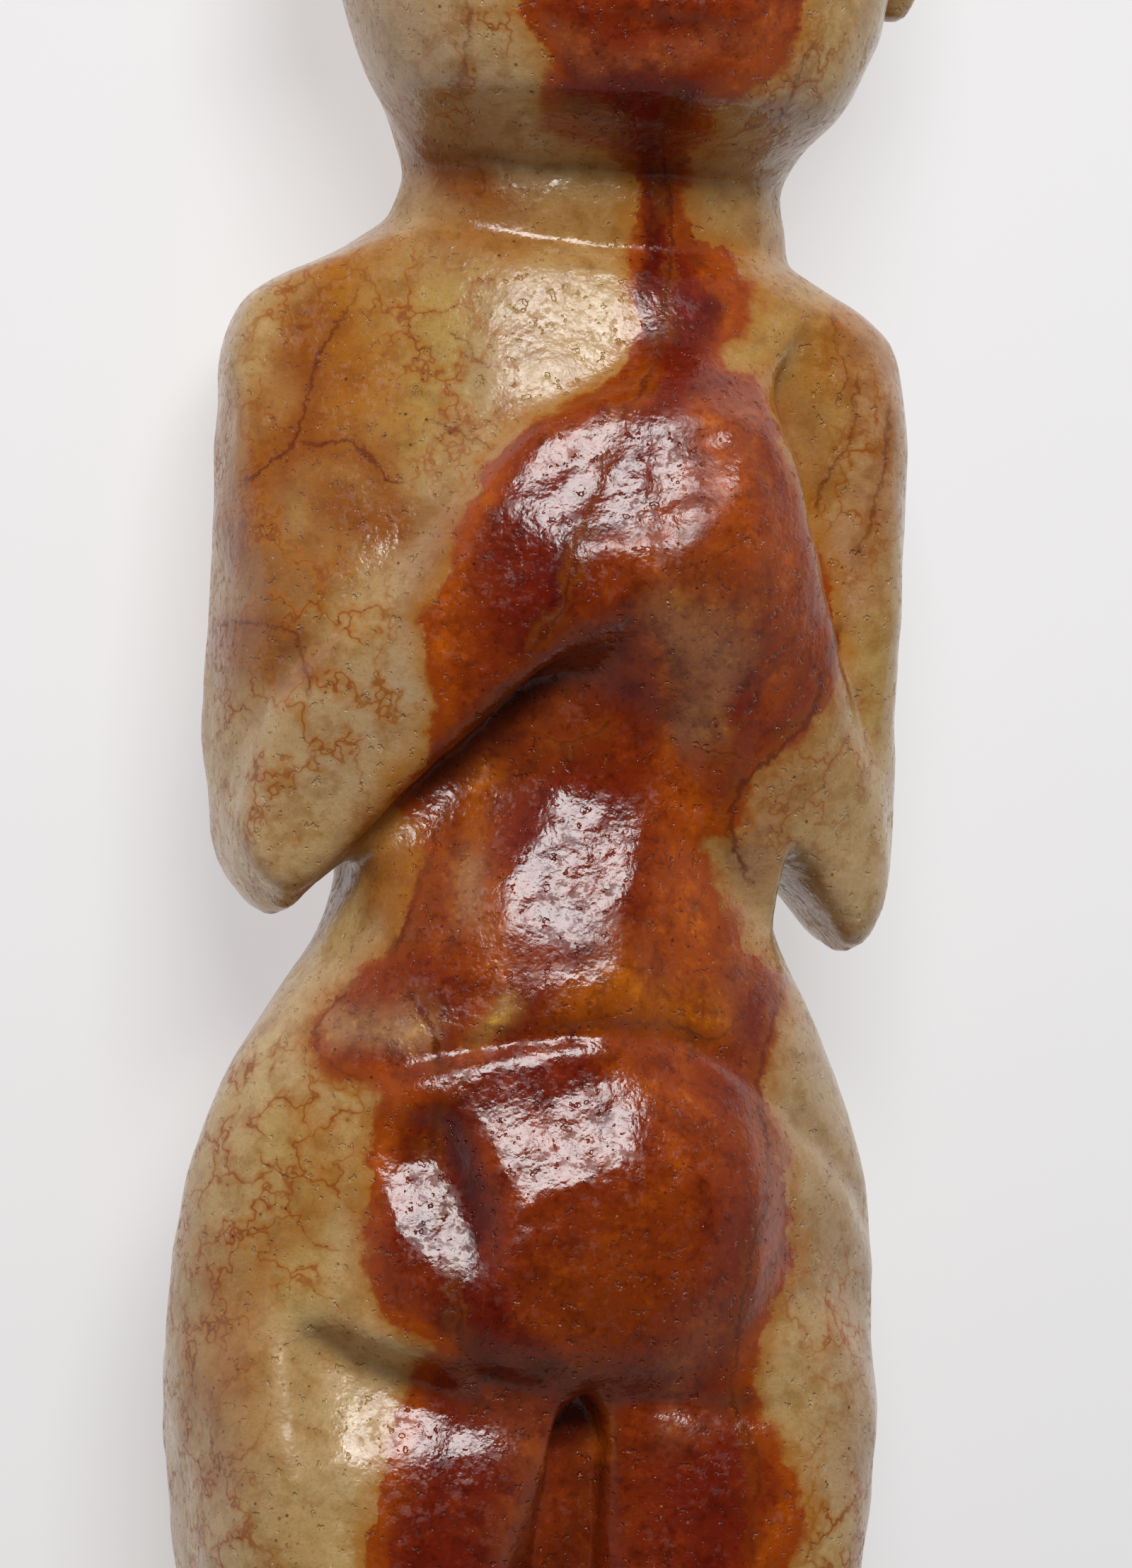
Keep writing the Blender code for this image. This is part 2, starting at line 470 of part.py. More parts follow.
def skin(field, low, spacing):
    """Quads on the field's zero surface, with one vertex in each cell that it crosses."""
    cells = tuple(n - 1 for n in field.shape)
    total = np.zeros(cells + (3,))
    count = np.zeros(cells, int)
    window = [tuple(slice(c, c + n) for c, n in zip(corner, cells)) for corner in np.ndindex(2, 2, 2)]
    for corner in np.ndindex(2, 2, 2):
        for axis in range(3):
            if corner[axis]:
                continue
            a = field[window[corner[0] * 4 + corner[1] * 2 + corner[2]]]
            b = field[window[corner[0] * 4 + corner[1] * 2 + corner[2] + (4, 2, 1)[axis]]]
            crossed = (a < 0) != (b < 0)
            point = np.tile(np.array(corner, float), (crossed.sum(), 1))
            point[:, axis] += a[crossed] / (a[crossed] - b[crossed])
            total[crossed] += point
            count[crossed] += 1
    used = count > 0
    vertices = low + spacing * (np.argwhere(used) + total[used] / count[used][:, None])
    index = np.full(cells, -1)
    index[used] = np.arange(used.sum())
    inside = field < 0
    quads = []
    for axis in range(3):
        b, c = (axis + 1) % 3, (axis + 2) % 3
        first = np.take(inside, range(field.shape[axis] - 1), axis)
        second = np.take(inside, range(1, field.shape[axis]), axis)
        spots = np.argwhere(first != second)
        ring = []
        for back_b, back_c in ((1, 1), (0, 1), (0, 0), (1, 0)):
            cell = spots.copy()
            cell[:, b] -= back_b
            cell[:, c] -= back_c
            ring.append(index[tuple(cell.T)])
        ring = np.stack(ring, 1)
        outward = first[tuple(spots.T)]
        ring[~outward] = ring[~outward][:, ::-1]
        quads.append(ring)
    return vertices, np.concatenate(quads)


def jade():
    material = bpy.data.materials.new("jade")
    material.use_nodes = True
    shader = material.node_tree.nodes["Principled BSDF"]
    shader.inputs["Base Color"].default_value = (0.33, 0.24, 0.10, 1)
    shader.inputs["Roughness"].default_value = 0.25
    shader.inputs["Metallic"].default_value = 0.0
    return material


def new_collection(name):
    collection = bpy.data.collections.new(name)
    bpy.context.scene.collection.children.link(collection)
    return collection


def resting_plane(collection):
    """Cutter whose top is the plane that the figure lies on."""
    size = 2 * HEIGHT
    bpy.ops.mesh.primitive_cube_add(size=size, location=(0, 0, -size / 2))
    cutter = bpy.context.object
    cutter.name = "resting_plane"
    cutter.display_type = "WIRE"
    cutter.hide_render = True
    for old in list(cutter.users_collection):
        old.objects.unlink(cutter)
    collection.objects.link(cutter)
    return cutter


def carve(collection, cutter):
    vertices, quads = skin(*sample(GRID_STEP))
    mesh = bpy.data.meshes.new("jade_figure")
    mesh.from_pydata((vertices * SHARE).tolist(), [], quads.tolist())
    mesh.materials.append(jade())
    mesh.shade_smooth()
    figure_object = bpy.data.objects.new("jade_figure", mesh)
    collection.objects.link(figure_object)
    fewer = figure_object.modifiers.new("fewer_facets", "DECIMATE")
    fewer.ratio = TRIANGLES / (2 * len(quads))
    flats = figure_object.modifiers.new("resting_flats", "BOOLEAN")
    flats.operation = "DIFFERENCE"
    flats.solver = "EXACT"
    flats.object = cutter
    return figure_object


def main():
    for old in list(bpy.data.objects):
        bpy.data.objects.remove(old)
    cutter = resting_plane(new_collection("cutters"))
    carve(new_collection("jade_figure"), cutter)


main()
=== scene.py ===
"""Looks of the jade figure: the stone's fine surface, its colours and polish, plain floor, light, camera."""
import math

import bpy
import numpy as np
from mathutils import Matrix, Vector


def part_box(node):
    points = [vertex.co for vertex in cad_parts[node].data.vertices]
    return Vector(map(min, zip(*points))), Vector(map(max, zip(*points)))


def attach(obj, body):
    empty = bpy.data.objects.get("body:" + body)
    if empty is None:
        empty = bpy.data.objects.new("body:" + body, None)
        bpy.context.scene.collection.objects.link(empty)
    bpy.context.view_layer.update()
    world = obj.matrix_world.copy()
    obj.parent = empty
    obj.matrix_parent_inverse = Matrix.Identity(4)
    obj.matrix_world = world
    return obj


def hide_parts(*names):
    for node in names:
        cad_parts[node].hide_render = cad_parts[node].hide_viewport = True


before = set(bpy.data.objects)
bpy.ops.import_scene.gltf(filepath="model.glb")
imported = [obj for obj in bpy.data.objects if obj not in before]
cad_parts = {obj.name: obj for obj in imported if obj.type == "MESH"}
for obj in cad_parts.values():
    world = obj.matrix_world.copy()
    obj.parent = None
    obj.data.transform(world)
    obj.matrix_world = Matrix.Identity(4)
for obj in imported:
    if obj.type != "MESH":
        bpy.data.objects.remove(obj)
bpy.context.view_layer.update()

# Millimetres: the carved forms below count 120ths of the height, which is 120 mm
MM = 0.001
FINE_STEP = 0.36
SMOOTH_PASSES = 2
SMOOTH_SHARE = 0.35
# How many sine waves make up one smooth random relief
WAVE_COUNT = 22
# Light: how much of it the stone sends back as plain colour, and the polish's own share
LIGHT = 0.66
GLOSS = 0.009
KEY_POWER = 2.1
KEY_SIZE = (0.28, 0.17)
KEY_PLACE = (-0.05, 0.29, 0.40)
KEY_AIM = (0, 0, 0.01)
FLOOR_SIZE = 3.0
FLOOR_GLOW = (0.498, 0.575)
SKY_GLOW = (0.26, 0.03)
GRID_MARGIN = 2.0

CROWN = 60.0
SOLES = -60.0

# Trunk from the neck to the hips: (height on the figure, value)
TRUNK_HALF_WIDTH = [(34, 7.3), (29, 7.65), (26, 8.4), (20, 8.8), (10, 8.6), (4, 8.1), (1, 8.3), (-1, 9.1),
                    (-3, 10.1), (-5, 11.35), (-7, 12.4), (-9, 13.2), (-11, 13.85), (-13, 14.2),
                    (-16, 14.45), (-19, 14.2), (-22, 13.3), (-26, 11.0), (-30, 8.0)]
TRUNK_MIDDLE = [(34, 0.1), (29, 0.2), (26, 0.15), (20, 0), (-4, 0), (-9, -0.12), (-17, -0.12), (-20, 0)]
TRUNK_BACK = [(32, 2.9), (29, 3.2), (25, 1.6), (20, 0.4), (14, 0.6), (6, 1.9), (0, 2.9), (-5, 2.1),
              (-10, 1.4), (-15, 1.0), (-19, 1.2), (-24, 3.0), (-30, 5.0)]
TRUNK_FRONT = [(34, 13.4), (31, 12.1), (29.3, 12.0), (28.1, 12.45), (27.3, 12.5), (26.3, 12.3),
               (20, 13.2), (12, 13.6), (8, 14.2), (3, 15.9), (-2, 17.0), (-6, 17.4), (-12, 17.6),
               (-18, 17.0), (-20, 16.6), (-24, 15.6), (-30, 13.0)]

NECK_TOP = 33.0
TRUNK_END = -28.0
BELLY_CENTRE = (-0.1, -12.7, 10.8)
BELLY_RADII = (9.4, 8.0, 8.6)
BUTTOCK_CENTRE = (5.5, -14.6, 6.9)
BUTTOCK_RADII = (6.6, 6.8, 7.3)

# Upper belly: a blunt ridge right of the middle, steeper on its right side
RIDGE_X = 0.4
RIDGE_ENDS = (-5.6, 14.0)
RIDGE_REACH = 7.6
RIDGE_FRONT = [(14, 17.2), (11, 16.9), (8, 16.6), (5, 16.5), (0, 17.15), (-2, 17.35), (-6, 17.4)]

# Shoulders, chest and upper arms, carved as one flat-sided block
BLOCK_MIDDLE = [(28.6, -0.4), (25, -0.4), (20, -0.35), (9, -0.3), (5, -0.05), (2, 0.2), (-1.5, 0.2)]
BLOCK_HALF_WIDTH = [(28.6, 5.0), (27.4, 6.3), (26.3, 8.2), (25.2, 10.0), (24.2, 12.0), (23.2, 13.15),
                    (22, 13.65), (20, 13.95), (12, 13.95), (4, 14.05), (2, 14.0), (-1.5, 13.75)]
BLOCK_BACK = [(28.6, 4.4), (26, 2.6), (23, 0.3), (19, -0.3), (14, 0.2), (6, 1.6), (2, 2.7), (-1.5, 3.7)]
BLOCK_FRONT = [(28.6, 9.0), (27, 10.9), (26.2, 12.1), (25.4, 13.4), (22, 14.7), (18, 15.7), (14, 16.0),
               (8, 15.2), (2, 13.6), (-1.5, 12.8)]
# Underside of that block across the figure: waist, open notch, hanging elbow, rounded outer corner
LEFT_ELBOW = [(0, 1.2), (8.5, 1.2), (9.2, 0.95), (10.4, -0.15), (11.2, -1.05), (11.6, -1.2), (12.1, -0.95),
              (12.7, -0.4), (13.2, 0.3), (13.6, 1.2), (13.9, 2.2)]
RIGHT_ELBOW = [(0, 1.8), (8.2, 1.8), (9.3, 1.45), (10.2, 0.75), (11.1, -0.15), (11.9, -0.95), (12.4, -1.2),
               (12.9, -0.85), (13.4, 0.1), (13.8, 1.4)]
ELBOW_DEPTH = 9.0
ELBOW_ROUNDING = 0.03

BLOCK_TOP = 28.6
# Forearms: start and end of the middle line (x outward, y), half-width at both ends
LEFT_FOREARM = ((14.05, 1.0), (-0.2, 18.6), 3.05, 3.5)
RIGHT_FOREARM = ((11.0, -0.6), (2.6, 17.8), 3.95, 3.5)
FOREARM_FRONT = [(-0.3, 10.9), (0, 12.6), (0.3, 15.3), (0.6, 17.4), (0.85, 18.5), (1.2, 18.8)]
# Clasped hands, and where their sloping upper left edge starts
HANDS_CENTRE = (1.3, 15.0, 13.3)
HANDS_RADII = (6.3, 6.8, 6.0)
HANDS_PEAK = (1.4, 21.6)
HANDS_SLOPE = 0.54
# Front of the chest in the hollow under the left forearm
HOLLOW_FRONT = 13.2

# Legs, each mirrored about a middle line that lies a little to the right
LEG_MIDDLE = 0.28
LEG_CENTRE = [(-14, 6.9), (-20, 7.1), (-26, 6.9), (-31, 6.4), (-36, 5.75), (-40, 5.25), (-46, 5.0),
              (-52, 4.5), (-60, 4.3)]
LEG_HALF_WIDTH = [(-14, 5.0), (-20, 6.95), (-26, 6.75), (-31, 6.15), (-36, 5.35), (-40, 4.85),
                  (-44, 4.85), (-48, 4.4), (-52, 3.6), (-55, 3.2), (-60, 3.3)]
# Fullness at the inner side of the left thigh; line of the groin above it, its lean and its inner end
GROIN_CENTRE = (-3.5, -23.2, 9.6)
GROIN_RADII = (3.1, 5.0, 7.5)
GROIN_LINE = (-11.0, -17.0, 0.31)
GROIN_INNER = -1.2
LEG_BACK = [(-14, 1), (-19, 0.1), (-24, 1.0), (-30, 2.4), (-38, 3.6), (-44, 2.8), (-50, 3.8), (-55, 4.9),
            (-60, 5.2)]
LEG_FRONT = [(-14, 16.5), (-20, 16.8), (-25, 17.2), (-31, 17.0), (-36, 16.2), (-40, 15.4), (-44, 13.9),
             (-50, 12.7), (-55, 11.8), (-60, 11.6)]
HIP_JOIN = -15.0
FOOT_CENTRE = (4.35, -59.2, 10.4)
FOOT_RADII = (3.9, 3.5, 7.1)
# Flats on the chest, hands, waist, belly and left thigh: a point on each, and how they tilt
CHEST_FLAT = (-2.0, 23.5, 13.95)
WAIST_FLAT = (-1.5, 2.3, 16.1)
WAIST_DROP = 0.30
HANDS_FLAT = (-3.5, 16.2, 17.35)
HANDS_RISE = 0.33
BELLY_FLAT = (-3.1, -9.2, 18.2)
BELLY_SIDE = (-7.0, -12.8, 17.15)
THIGH_FLAT = (-4.2, -19.6, 15.7)
FLAT_RISE = 0.21
FLAT_DROP = 0.37
# Left of these the chest and the waist fall away more: x, and a point on a line to the left hip
CHEST_EDGE = -5.0
CHEST_FALL = 0.36
WAIST_EDGE = (0.15, 7.0)
WAIST_FALL = 0.38
# Above this the waist swells forward again, into the hands
WAIST_TOP = 4.6
WAIST_SWELL = 0.5
# Left of this the thigh swells forward again, and below this it levels off
THIGH_EDGE = -10.1
THIGH_SWELL = 1.1
THIGH_END = -22.7
THIGH_LEVEL = 0.25
# Top of the side of the belly, and the fold right of it: a point on it, and how it leans
BELLY_TOP = -7.8
BELLY_FOLD = (-5.2, -10.9, 0.35)
# Where the right forearm runs softly into the belly, how far that reaches and how soft it is
FOREARM_MELT = (3.6, 3.6, 2.4)
# Thin web between the legs: half-width and back
WEB_HALF_WIDTH = 2.4
WEB_BACK = 5.2
# Flat-floored slot between the legs
SLOT_TOP = -19.3
SLOT_FLOOR = [(-60, 9.0), (-56, 9.2), (-50, 9.8), (-42, 11.8), (-34, 13.8), (-27, 14.7), (-19, 14.9)]
SLOT_HALF_WIDTH = [(-60, 0.9), (-40, 1.05), (-27, 1.35), (-22, 1.2), (-20.4, 0.95), (-19.2, 0.02)]

# Head: jaw and cheeks as sections, then a rounded skull
JAW_TOP = 48.0
JAW_BOTTOM = 29.6
JAW_HALF_WIDTH = [(28, 7.0), (30, 8.0), (31, 8.7), (32, 9.5), (33, 10.05), (34, 10.45), (36, 11.05),
                  (39, 11.6), (43, 11.9), (48, 11.6)]
JAW_BACK = [(28, 3.8), (31, 3.0), (34, 1.8), (38, 0.7), (44, 0.2), (48, 0.2)]
JAW_FRONT = [(28, 13.0), (30, 14.2), (31.2, 16.4), (32.4, 17.7), (35, 18.4), (40, 18.5), (46, 18.2),
             (48, 18.0)]
HAIR_RISE = 0.35
SKULL_CENTRE = (0, 47.4, 9.45)
SKULL_RADII = (12.0, CROWN - HAIR_RISE - SKULL_CENTRE[1], 9.3)
HEAD_MIDDLE = -0.12
EAR_CENTRE = (12.1, 41.4, 8.4)
EAR_RADII = (1.35, 5.3, 2.5)
EAR_HOLLOW = (42.2, 9.0)

# Face on the usual canon: thirds from hairline to chin, eyes at half height, five eyes to the width
CHIN = 31.6
HAIRLINE = 54.4
THIRD = (HAIRLINE - CHIN) / 3
NOSE_BASE = CHIN + THIRD
MOUTH = CHIN + THIRD * 2 / 3
EYE_LINE = (CHIN + CROWN) / 2 - 0.6
BROW = CHIN + 2 * THIRD + 0.6
EYE_WIDTH = 2 * SKULL_RADII[0] / 5
MOUTH_HALF_WIDTH = 0.72 * EYE_WIDTH
NOSE_TIP = (0, NOSE_BASE + 1.6, 17.9)
NOSE_WING = (1.45, NOSE_BASE + 1.3, 17.6)
NOSE_BRIDGE = (0, NOSE_BASE + 4.6, 17.0)

FRONT, BACK = 1, -1
# Cut lines: side, depth, half-width, then points (x, y)
CUT_LINES = [
    (FRONT, 0.45, 0.38, (-9.4, -7.9), (-6.5, -6.5), (-3.7, -5.8), (-1.2, -5.3), (1.2, -5.1), (4.6, -5.5),
     (7.6, -7.4)),
    (FRONT, 0.35, 0.55, (-11, -16.4), (-8.15, -17.6), (-5.6, -18.4), (-2.95, -19.1), (-0.3, -19.6)),
    (FRONT, 0.35, 0.5, (1.6, -19.7), (4.1, -19.8), (7.3, -20), (9.6, -19.7)),
    (FRONT, 0.35, 0.5, (7.3, -7.2), (9.5, -8.6), (11.35, -9.9), (12.85, -11.6), (13.9, -13.3)),
    (FRONT, 0.16, 0.35, (-6.4, 25.6), (-3.1, 25.9), (0.3, 25.9), (3.6, 25.6)),
    (BACK, 0.45, 0.8, (0, 25), (0, 12), (0, 1)), (BACK, 0.8, 0.8, (0, -6.5), (0, -13), (0, -21)),
    (BACK, 0.6, 0.6, (-12.4, -19.4), (-7, -21.2), (-1.6, -20.6)),
    (BACK, 0.6, 0.6, (12.4, -19.4), (7, -21.2), (1.6, -20.6)),
    (BACK, 0.5, 0.55, (-9.2, 20.5), (-9.9, 12), (-8.8, 2.2)),
    (BACK, 0.5, 0.55, (8.4, 20.5), (9.3, 12), (8.6, 2)),
]
CUT_REACH = 1.6
PINCH_PASSES = 3
PINCH_FILL = 0.001


def curve(at, points):
    """Smooth curve without overshoot through (position, value) points, level past both ends."""
    xs, ys = np.array(sorted(points), float).T
    slope = np.diff(ys) / np.diff(xs)
    tangent = np.zeros(len(xs))
    same = slope[:-1] * slope[1:] > 0
    tangent[1:-1][same] = 2 * (slope[:-1] * slope[1:])[same] / (slope[:-1] + slope[1:])[same]
    return hermite(np.clip(at, xs[0], xs[-1]), xs, ys, tangent)


def hermite(at, xs, ys, tangent):
    """Cubic through the values ys at xs with the given tangents."""
    i = np.clip(np.searchsorted(xs, at) - 1, 0, len(xs) - 2)
    h = xs[i + 1] - xs[i]
    t = (at - xs[i]) / h
    return ((1 + 2 * t) * (1 - t) ** 2 * ys[i] + t * (1 - t) ** 2 * h * tangent[i]
            + t * t * (3 - 2 * t) * ys[i + 1] + t * t * (t - 1) * h * tangent[i + 1])


def either(a, b, fillet):
    """Union of two fields, below zero inside, with a rounded inner corner."""
    h = np.clip(0.5 + 0.5 * (b - a) / fillet, 0, 1)
    return b * (1 - h) + a * h - fillet * h * (1 - h)


def both(a, b, fillet):
    """What two fields share, with a rounded edge."""
    return -either(-a, -b, fillet)


def within(field, *limits):
    """A field cut back by some limits, each with the rounding of its edge."""
    for limit, edge in limits:
        field = both(field, limit, edge)
    return field


def rounded(offsets, radii, power):
    """Near distance to a rounded box: an ellipse or ellipsoid where power is 2, boxier above."""
    p = [np.abs(d) / r for d, r in zip(offsets, radii)]
    k = sum(q ** power for q in p) ** (1 / power) + 1e-9
    slope = sum(((q / k) ** (power - 1) / r) ** 2 for q, r in zip(p, radii))
    return (k - 1) / np.sqrt(slope + 1e-9)


def boss(x, y, z, centre, radii, power):
    """A rounded box about a centre; with x as distance from the middle plane it is a pair."""
    return rounded((x - centre[0], y - centre[1], z - centre[2]), radii, power)


def loft(x, y, z, middle, half_width, back, front, power):
    """Sections stacked up the figure, each a rounded shape between its back and front."""
    zb, zf = curve(y, back), curve(y, front)
    return rounded((x - middle, z - (zb + zf) / 2), (curve(y, half_width), (zf - zb) / 2), power)


def trunk(x, y, z):
    core = loft(x, y, z, curve(y, TRUNK_MIDDLE), TRUNK_HALF_WIDTH, TRUNK_BACK, TRUNK_FRONT, 2.15)
    core = within(core, (y - NECK_TOP, 1), (TRUNK_END - y, 1))
    off = x - RIDGE_X
    fall = np.where(off < 0, 0.035, 0.05) * off * off + 0.175 * off
    fall = fall + 0.375 * (np.sqrt(off * off + 0.35) - 0.59)
    low, high = RIDGE_ENDS
    ridge = within((z - curve(y, RIDGE_FRONT) + fall) * 0.85, (low - y, 0.5), (y - high, 0.5),
                   (np.abs(x) - RIDGE_REACH, 1.0), (6 - z, 0.5))
    belly = boss(x, y, z, BELLY_CENTRE, BELLY_RADII, 2.9)
    buttocks = boss(np.abs(x), y, z, BUTTOCK_CENTRE, BUTTOCK_RADII, 2.2)
    core = either(core, buttocks, 1.2)
    core = either(core, ridge, 2.2)
    left = past(0.87 * (WAIST_EDGE[0] - x) + 0.49 * (y - WAIST_EDGE[1]), 0.9)
    waist = plane(x, y, z, WAIST_FLAT, drop=WAIST_DROP) + WAIST_FALL * left
    waist = waist - WAIST_SWELL * past(y - WAIST_TOP, 0.6)
    core = both(core, np.where(y < high, waist, -1), 0.6)
    belly = both(belly, plane(x, y, z, BELLY_FLAT), 0.6)
    fold = x - BELLY_FOLD[0] + BELLY_FOLD[2] * (y - BELLY_FOLD[1])
    side = plane(x, y, z, BELLY_SIDE) - 1.3 * past(fold, 0.5)
    return both(either(core, belly, 1.0), either(side, BELLY_TOP - y, 3.5), 0.5)


def below_elbow(x, y, z):
    """Above zero under the elbows and in the notches beside the waist."""
    underside = np.where(x < 0, curve(np.abs(x), LEFT_ELBOW), curve(np.abs(x), RIGHT_ELBOW))
    return (underside + ELBOW_ROUNDING * (z - ELBOW_DEPTH) ** 2 - y) * 0.75


def on_forearm(x, y, side, sizes):
    """How far along a forearm from its elbow and how far over its middle line, and its length."""
    start, end = np.array(sizes[:2], float)
    length = np.hypot(*(end - start))
    run = (end - start) / length
    u, v = x * side - start[0], y - start[1]
    return u * run[0] + v * run[1], u * run[1] - v * run[0], length


def below_forearm(x, y):
    """Above zero past the lower edge of the left forearm."""
    return -on_forearm(x, y, -1, LEFT_FOREARM)[1] - LEFT_FOREARM[2]


def arm_block(x, y, z):
    block = loft(x, y, z, curve(y, BLOCK_MIDDLE), BLOCK_HALF_WIDTH, BLOCK_BACK, BLOCK_FRONT, 2.8)
    chest = plane(x, y, z, CHEST_FLAT) + CHEST_FALL * past(CHEST_EDGE - x, 1.0)
    hollow = either(below_forearm(x, y), z - HOLLOW_FRONT, 0.8)
    return within(block, (y - BLOCK_TOP, 1), (chest, 0.5), (hollow, 0.8), (below_elbow(x, y, z), 0.5))


def forearm(x, y, z, side, sizes):
    """One forearm across the chest."""
    along, over, length = on_forearm(x, y, side, sizes)
    wide_start, wide_end = sizes[2:]
    u = x * side
    share = np.clip(along / length, -0.3, 1.2)
    front = curve(share, FOREARM_FRONT) - 0.05 * over * over - 0.30 * over
    wide = wide_start + (wide_end - wide_start) * np.clip(share, 0, 1)
    return within(np.abs(over) - wide, ((z - front) * 0.93, 1.3), (-along - 1.5, 2.5), (along - length, 2.0),
                  (u - 13.7, 1.5), (8 - z, 0.5), (np.where(u > 8.3, below_elbow(x, y, z), -1), 0.4))


def arms(x, y, z):
    """Both forearms and the clasped hands where they meet."""
    pair = either(forearm(x, y, z, 1, RIGHT_FOREARM), forearm(x, y, z, -1, LEFT_FOREARM), 0.5)
    hands = boss(x, y, z, HANDS_CENTRE, HANDS_RADII, 2.1)
    above = (y - HANDS_PEAK[1] - HANDS_SLOPE * (x - HANDS_PEAK[0])) * 0.88
    clasped = both(either(pair, hands, 2.2), above, 1.2)
    return both(clasped, plane(x, y, z, HANDS_FLAT, HANDS_RISE), 0.6)


def plane(x, y, z, at, rise=FLAT_RISE, drop=FLAT_DROP):
    """Field of a flat that rises to the right and to the feet, so that it faces up and to the left."""
    return (z - at[2] - rise * (x - at[0]) + drop * (y - at[1])) * 0.91


def past(value, softness):
    """How far a value is above zero, and nothing below, with a soft bend between."""
    return 0.5 * (value + np.sqrt(value * value + softness * softness))


def thigh_flat(x, y, z):
    """Field of the flat on the left thigh, below the line of the groin."""
    flat = plane(x, y, z, THIGH_FLAT) - THIGH_SWELL * past(THIGH_EDGE - x, 1.0)
    flat = flat + THIGH_LEVEL * past(THIGH_END - y, 0.8)
    above = y - GROIN_LINE[1] + GROIN_LINE[2] * (x - GROIN_LINE[0])
    return either(either(flat, -above, 2.0), GROIN_INNER - x, 0.8)


def legs(x, y, z):
    x = x - LEG_MIDDLE
    leg = loft(np.abs(x), y, z, curve(y, LEG_CENTRE), LEG_HALF_WIDTH, LEG_BACK, LEG_FRONT, 3.0)
    leg = either(leg, boss(x, y, z, GROIN_CENTRE, GROIN_RADII, 2.6), 0.8)
    foot = boss(np.abs(x), y, z, FOOT_CENTRE, FOOT_RADII, 2.5)
    web = within(np.abs(x) - WEB_HALF_WIDTH, (z - curve(y, SLOT_FLOOR) - 0.6, 0.5), (WEB_BACK - z, 0.5))
    pair = either(either(leg, foot, 1.6), web, 0.4)
    return within(pair, (y - HIP_JOIN, 3), (SOLES - y, 0.7))


def slot(x, y, z):
    """Space cut between the legs, right of the middle and leaning a little to the left as it goes down."""
    width = np.abs(x - 0.75 - 0.03 * (y + 20)) - curve(y, SLOT_HALF_WIDTH)
    return within(width, (curve(y, SLOT_FLOOR) - z, 0.25), (y - SLOT_TOP, 0.3))


def head(x, y, z):
    x = x - HEAD_MIDDLE
    jaw = loft(x, y, z, 0, JAW_HALF_WIDTH, JAW_BACK, JAW_FRONT, 2.2)
    jaw = within(jaw, (y - JAW_TOP, 2), (JAW_BOTTOM - y, 0.8))
    skull = boss(x, y, z, SKULL_CENTRE, SKULL_RADII, 2.15)
    ears = boss(np.abs(x), y, z, EAR_CENTRE, EAR_RADII, 2.5)
    tip = boss(x, y, z, NOSE_TIP, (1.75, 1.8, 2.2), 2)
    wings = boss(np.abs(x), y, z, NOSE_WING, (0.95, 1.05, 1.5), 2)
    bridge = boss(x, y, z, NOSE_BRIDGE, (1.2, 4.8, 2.4), 2)
    nose = either(either(tip, bridge, 0.8), wings, 0.5)
    return either(either(either(jaw, skull, 1.2), ears, 0.3), nose, 0.8)


def step(value, width):
    """0 below zero, 1 above, smooth over the width."""
    t = np.clip(0.5 + value / width, 0, 1)
    return t * t * (3 - 2 * t)


def hump(*offsets):
    """1 in the middle, fading as the offsets, each a share of its own reach, grow past 1."""
    return np.exp(-sum(offset * offset for offset in offsets))


def face_cut(x, y, z):
    """Low relief of the face and the edge of the hair, positive where stone is taken away."""
    x = np.abs(x - HEAD_MIDDLE)
    eye_x = x - EYE_WIDTH
    eye_y = y - EYE_LINE
    lid = np.abs(eye_y) - 0.23 * EYE_WIDTH * (1 - (2 * eye_x / EYE_WIDTH) ** 2)
    brow_y = y - BROW + 0.035 * eye_x * eye_x
    lips_y = y - MOUTH
    wide = x / MOUTH_HALF_WIDTH
    cut = 0.55 * hump(eye_x / 3.0, (eye_y - 0.2) / 1.7) - 0.50 * step(-lid, 0.7) + 0.22 * hump(lid / 0.34)
    cut -= 0.40 * hump(brow_y / 0.75, (eye_x / 3.4) ** 2)
    cut -= 0.50 * hump((lips_y - 0.75) / 0.62, wide ** 2)
    cut -= 0.52 * hump((lips_y + 0.85) / 0.70, 1.25 * wide ** 2)
    cut += 0.42 * hump(lips_y / 0.36, wide ** 3) + 0.25 * hump((lips_y + 2.1) / 0.7, wide)
    cut -= 0.30 * hump((x - 6.3) / 2.8, (y - NOSE_BASE - 1.5) / 2.8)
    cut -= 0.45 * hump(x / 3.2, (y - CHIN - 1.7) / 1.4)
    cut = cut * step(z - 11, 3)
    hair = y - HAIRLINE + 0.80 * (18.2 - z) - 0.02 * x * x
    return cut - HAIR_RISE * step(hair, 0.5)


def ear_cut(x, y, z):
    """Hollow of each ear, seen from the side."""
    hollow = hump((y - EAR_HOLLOW[0]) / 2.6, (z - EAR_HOLLOW[1]) / 0.95)
    return 0.5 * hollow * step(np.abs(x) - EAR_CENTRE[0] - 0.2, 0.6)


def line_cut(x, y, facing):
    """Depth of the cut lines; facing is how far the surface looks to the front."""
    cut = np.zeros(x.shape)
    for side, depth, half_width, *points in CUT_LINES:
        away, share, _ = from_line(x, y, points)
        shown = np.clip(2.5 * facing * side + 0.2, 0, 1)
        cut += depth * taper(share, 4, 0.1) * shown * hump(away / half_width)
    return cut


def taper(share, pace, least=0):
    """Fading out at both ends of a line, the shorter the higher the pace."""
    return np.clip(pace * np.minimum(share, 1 - share), least, 1)


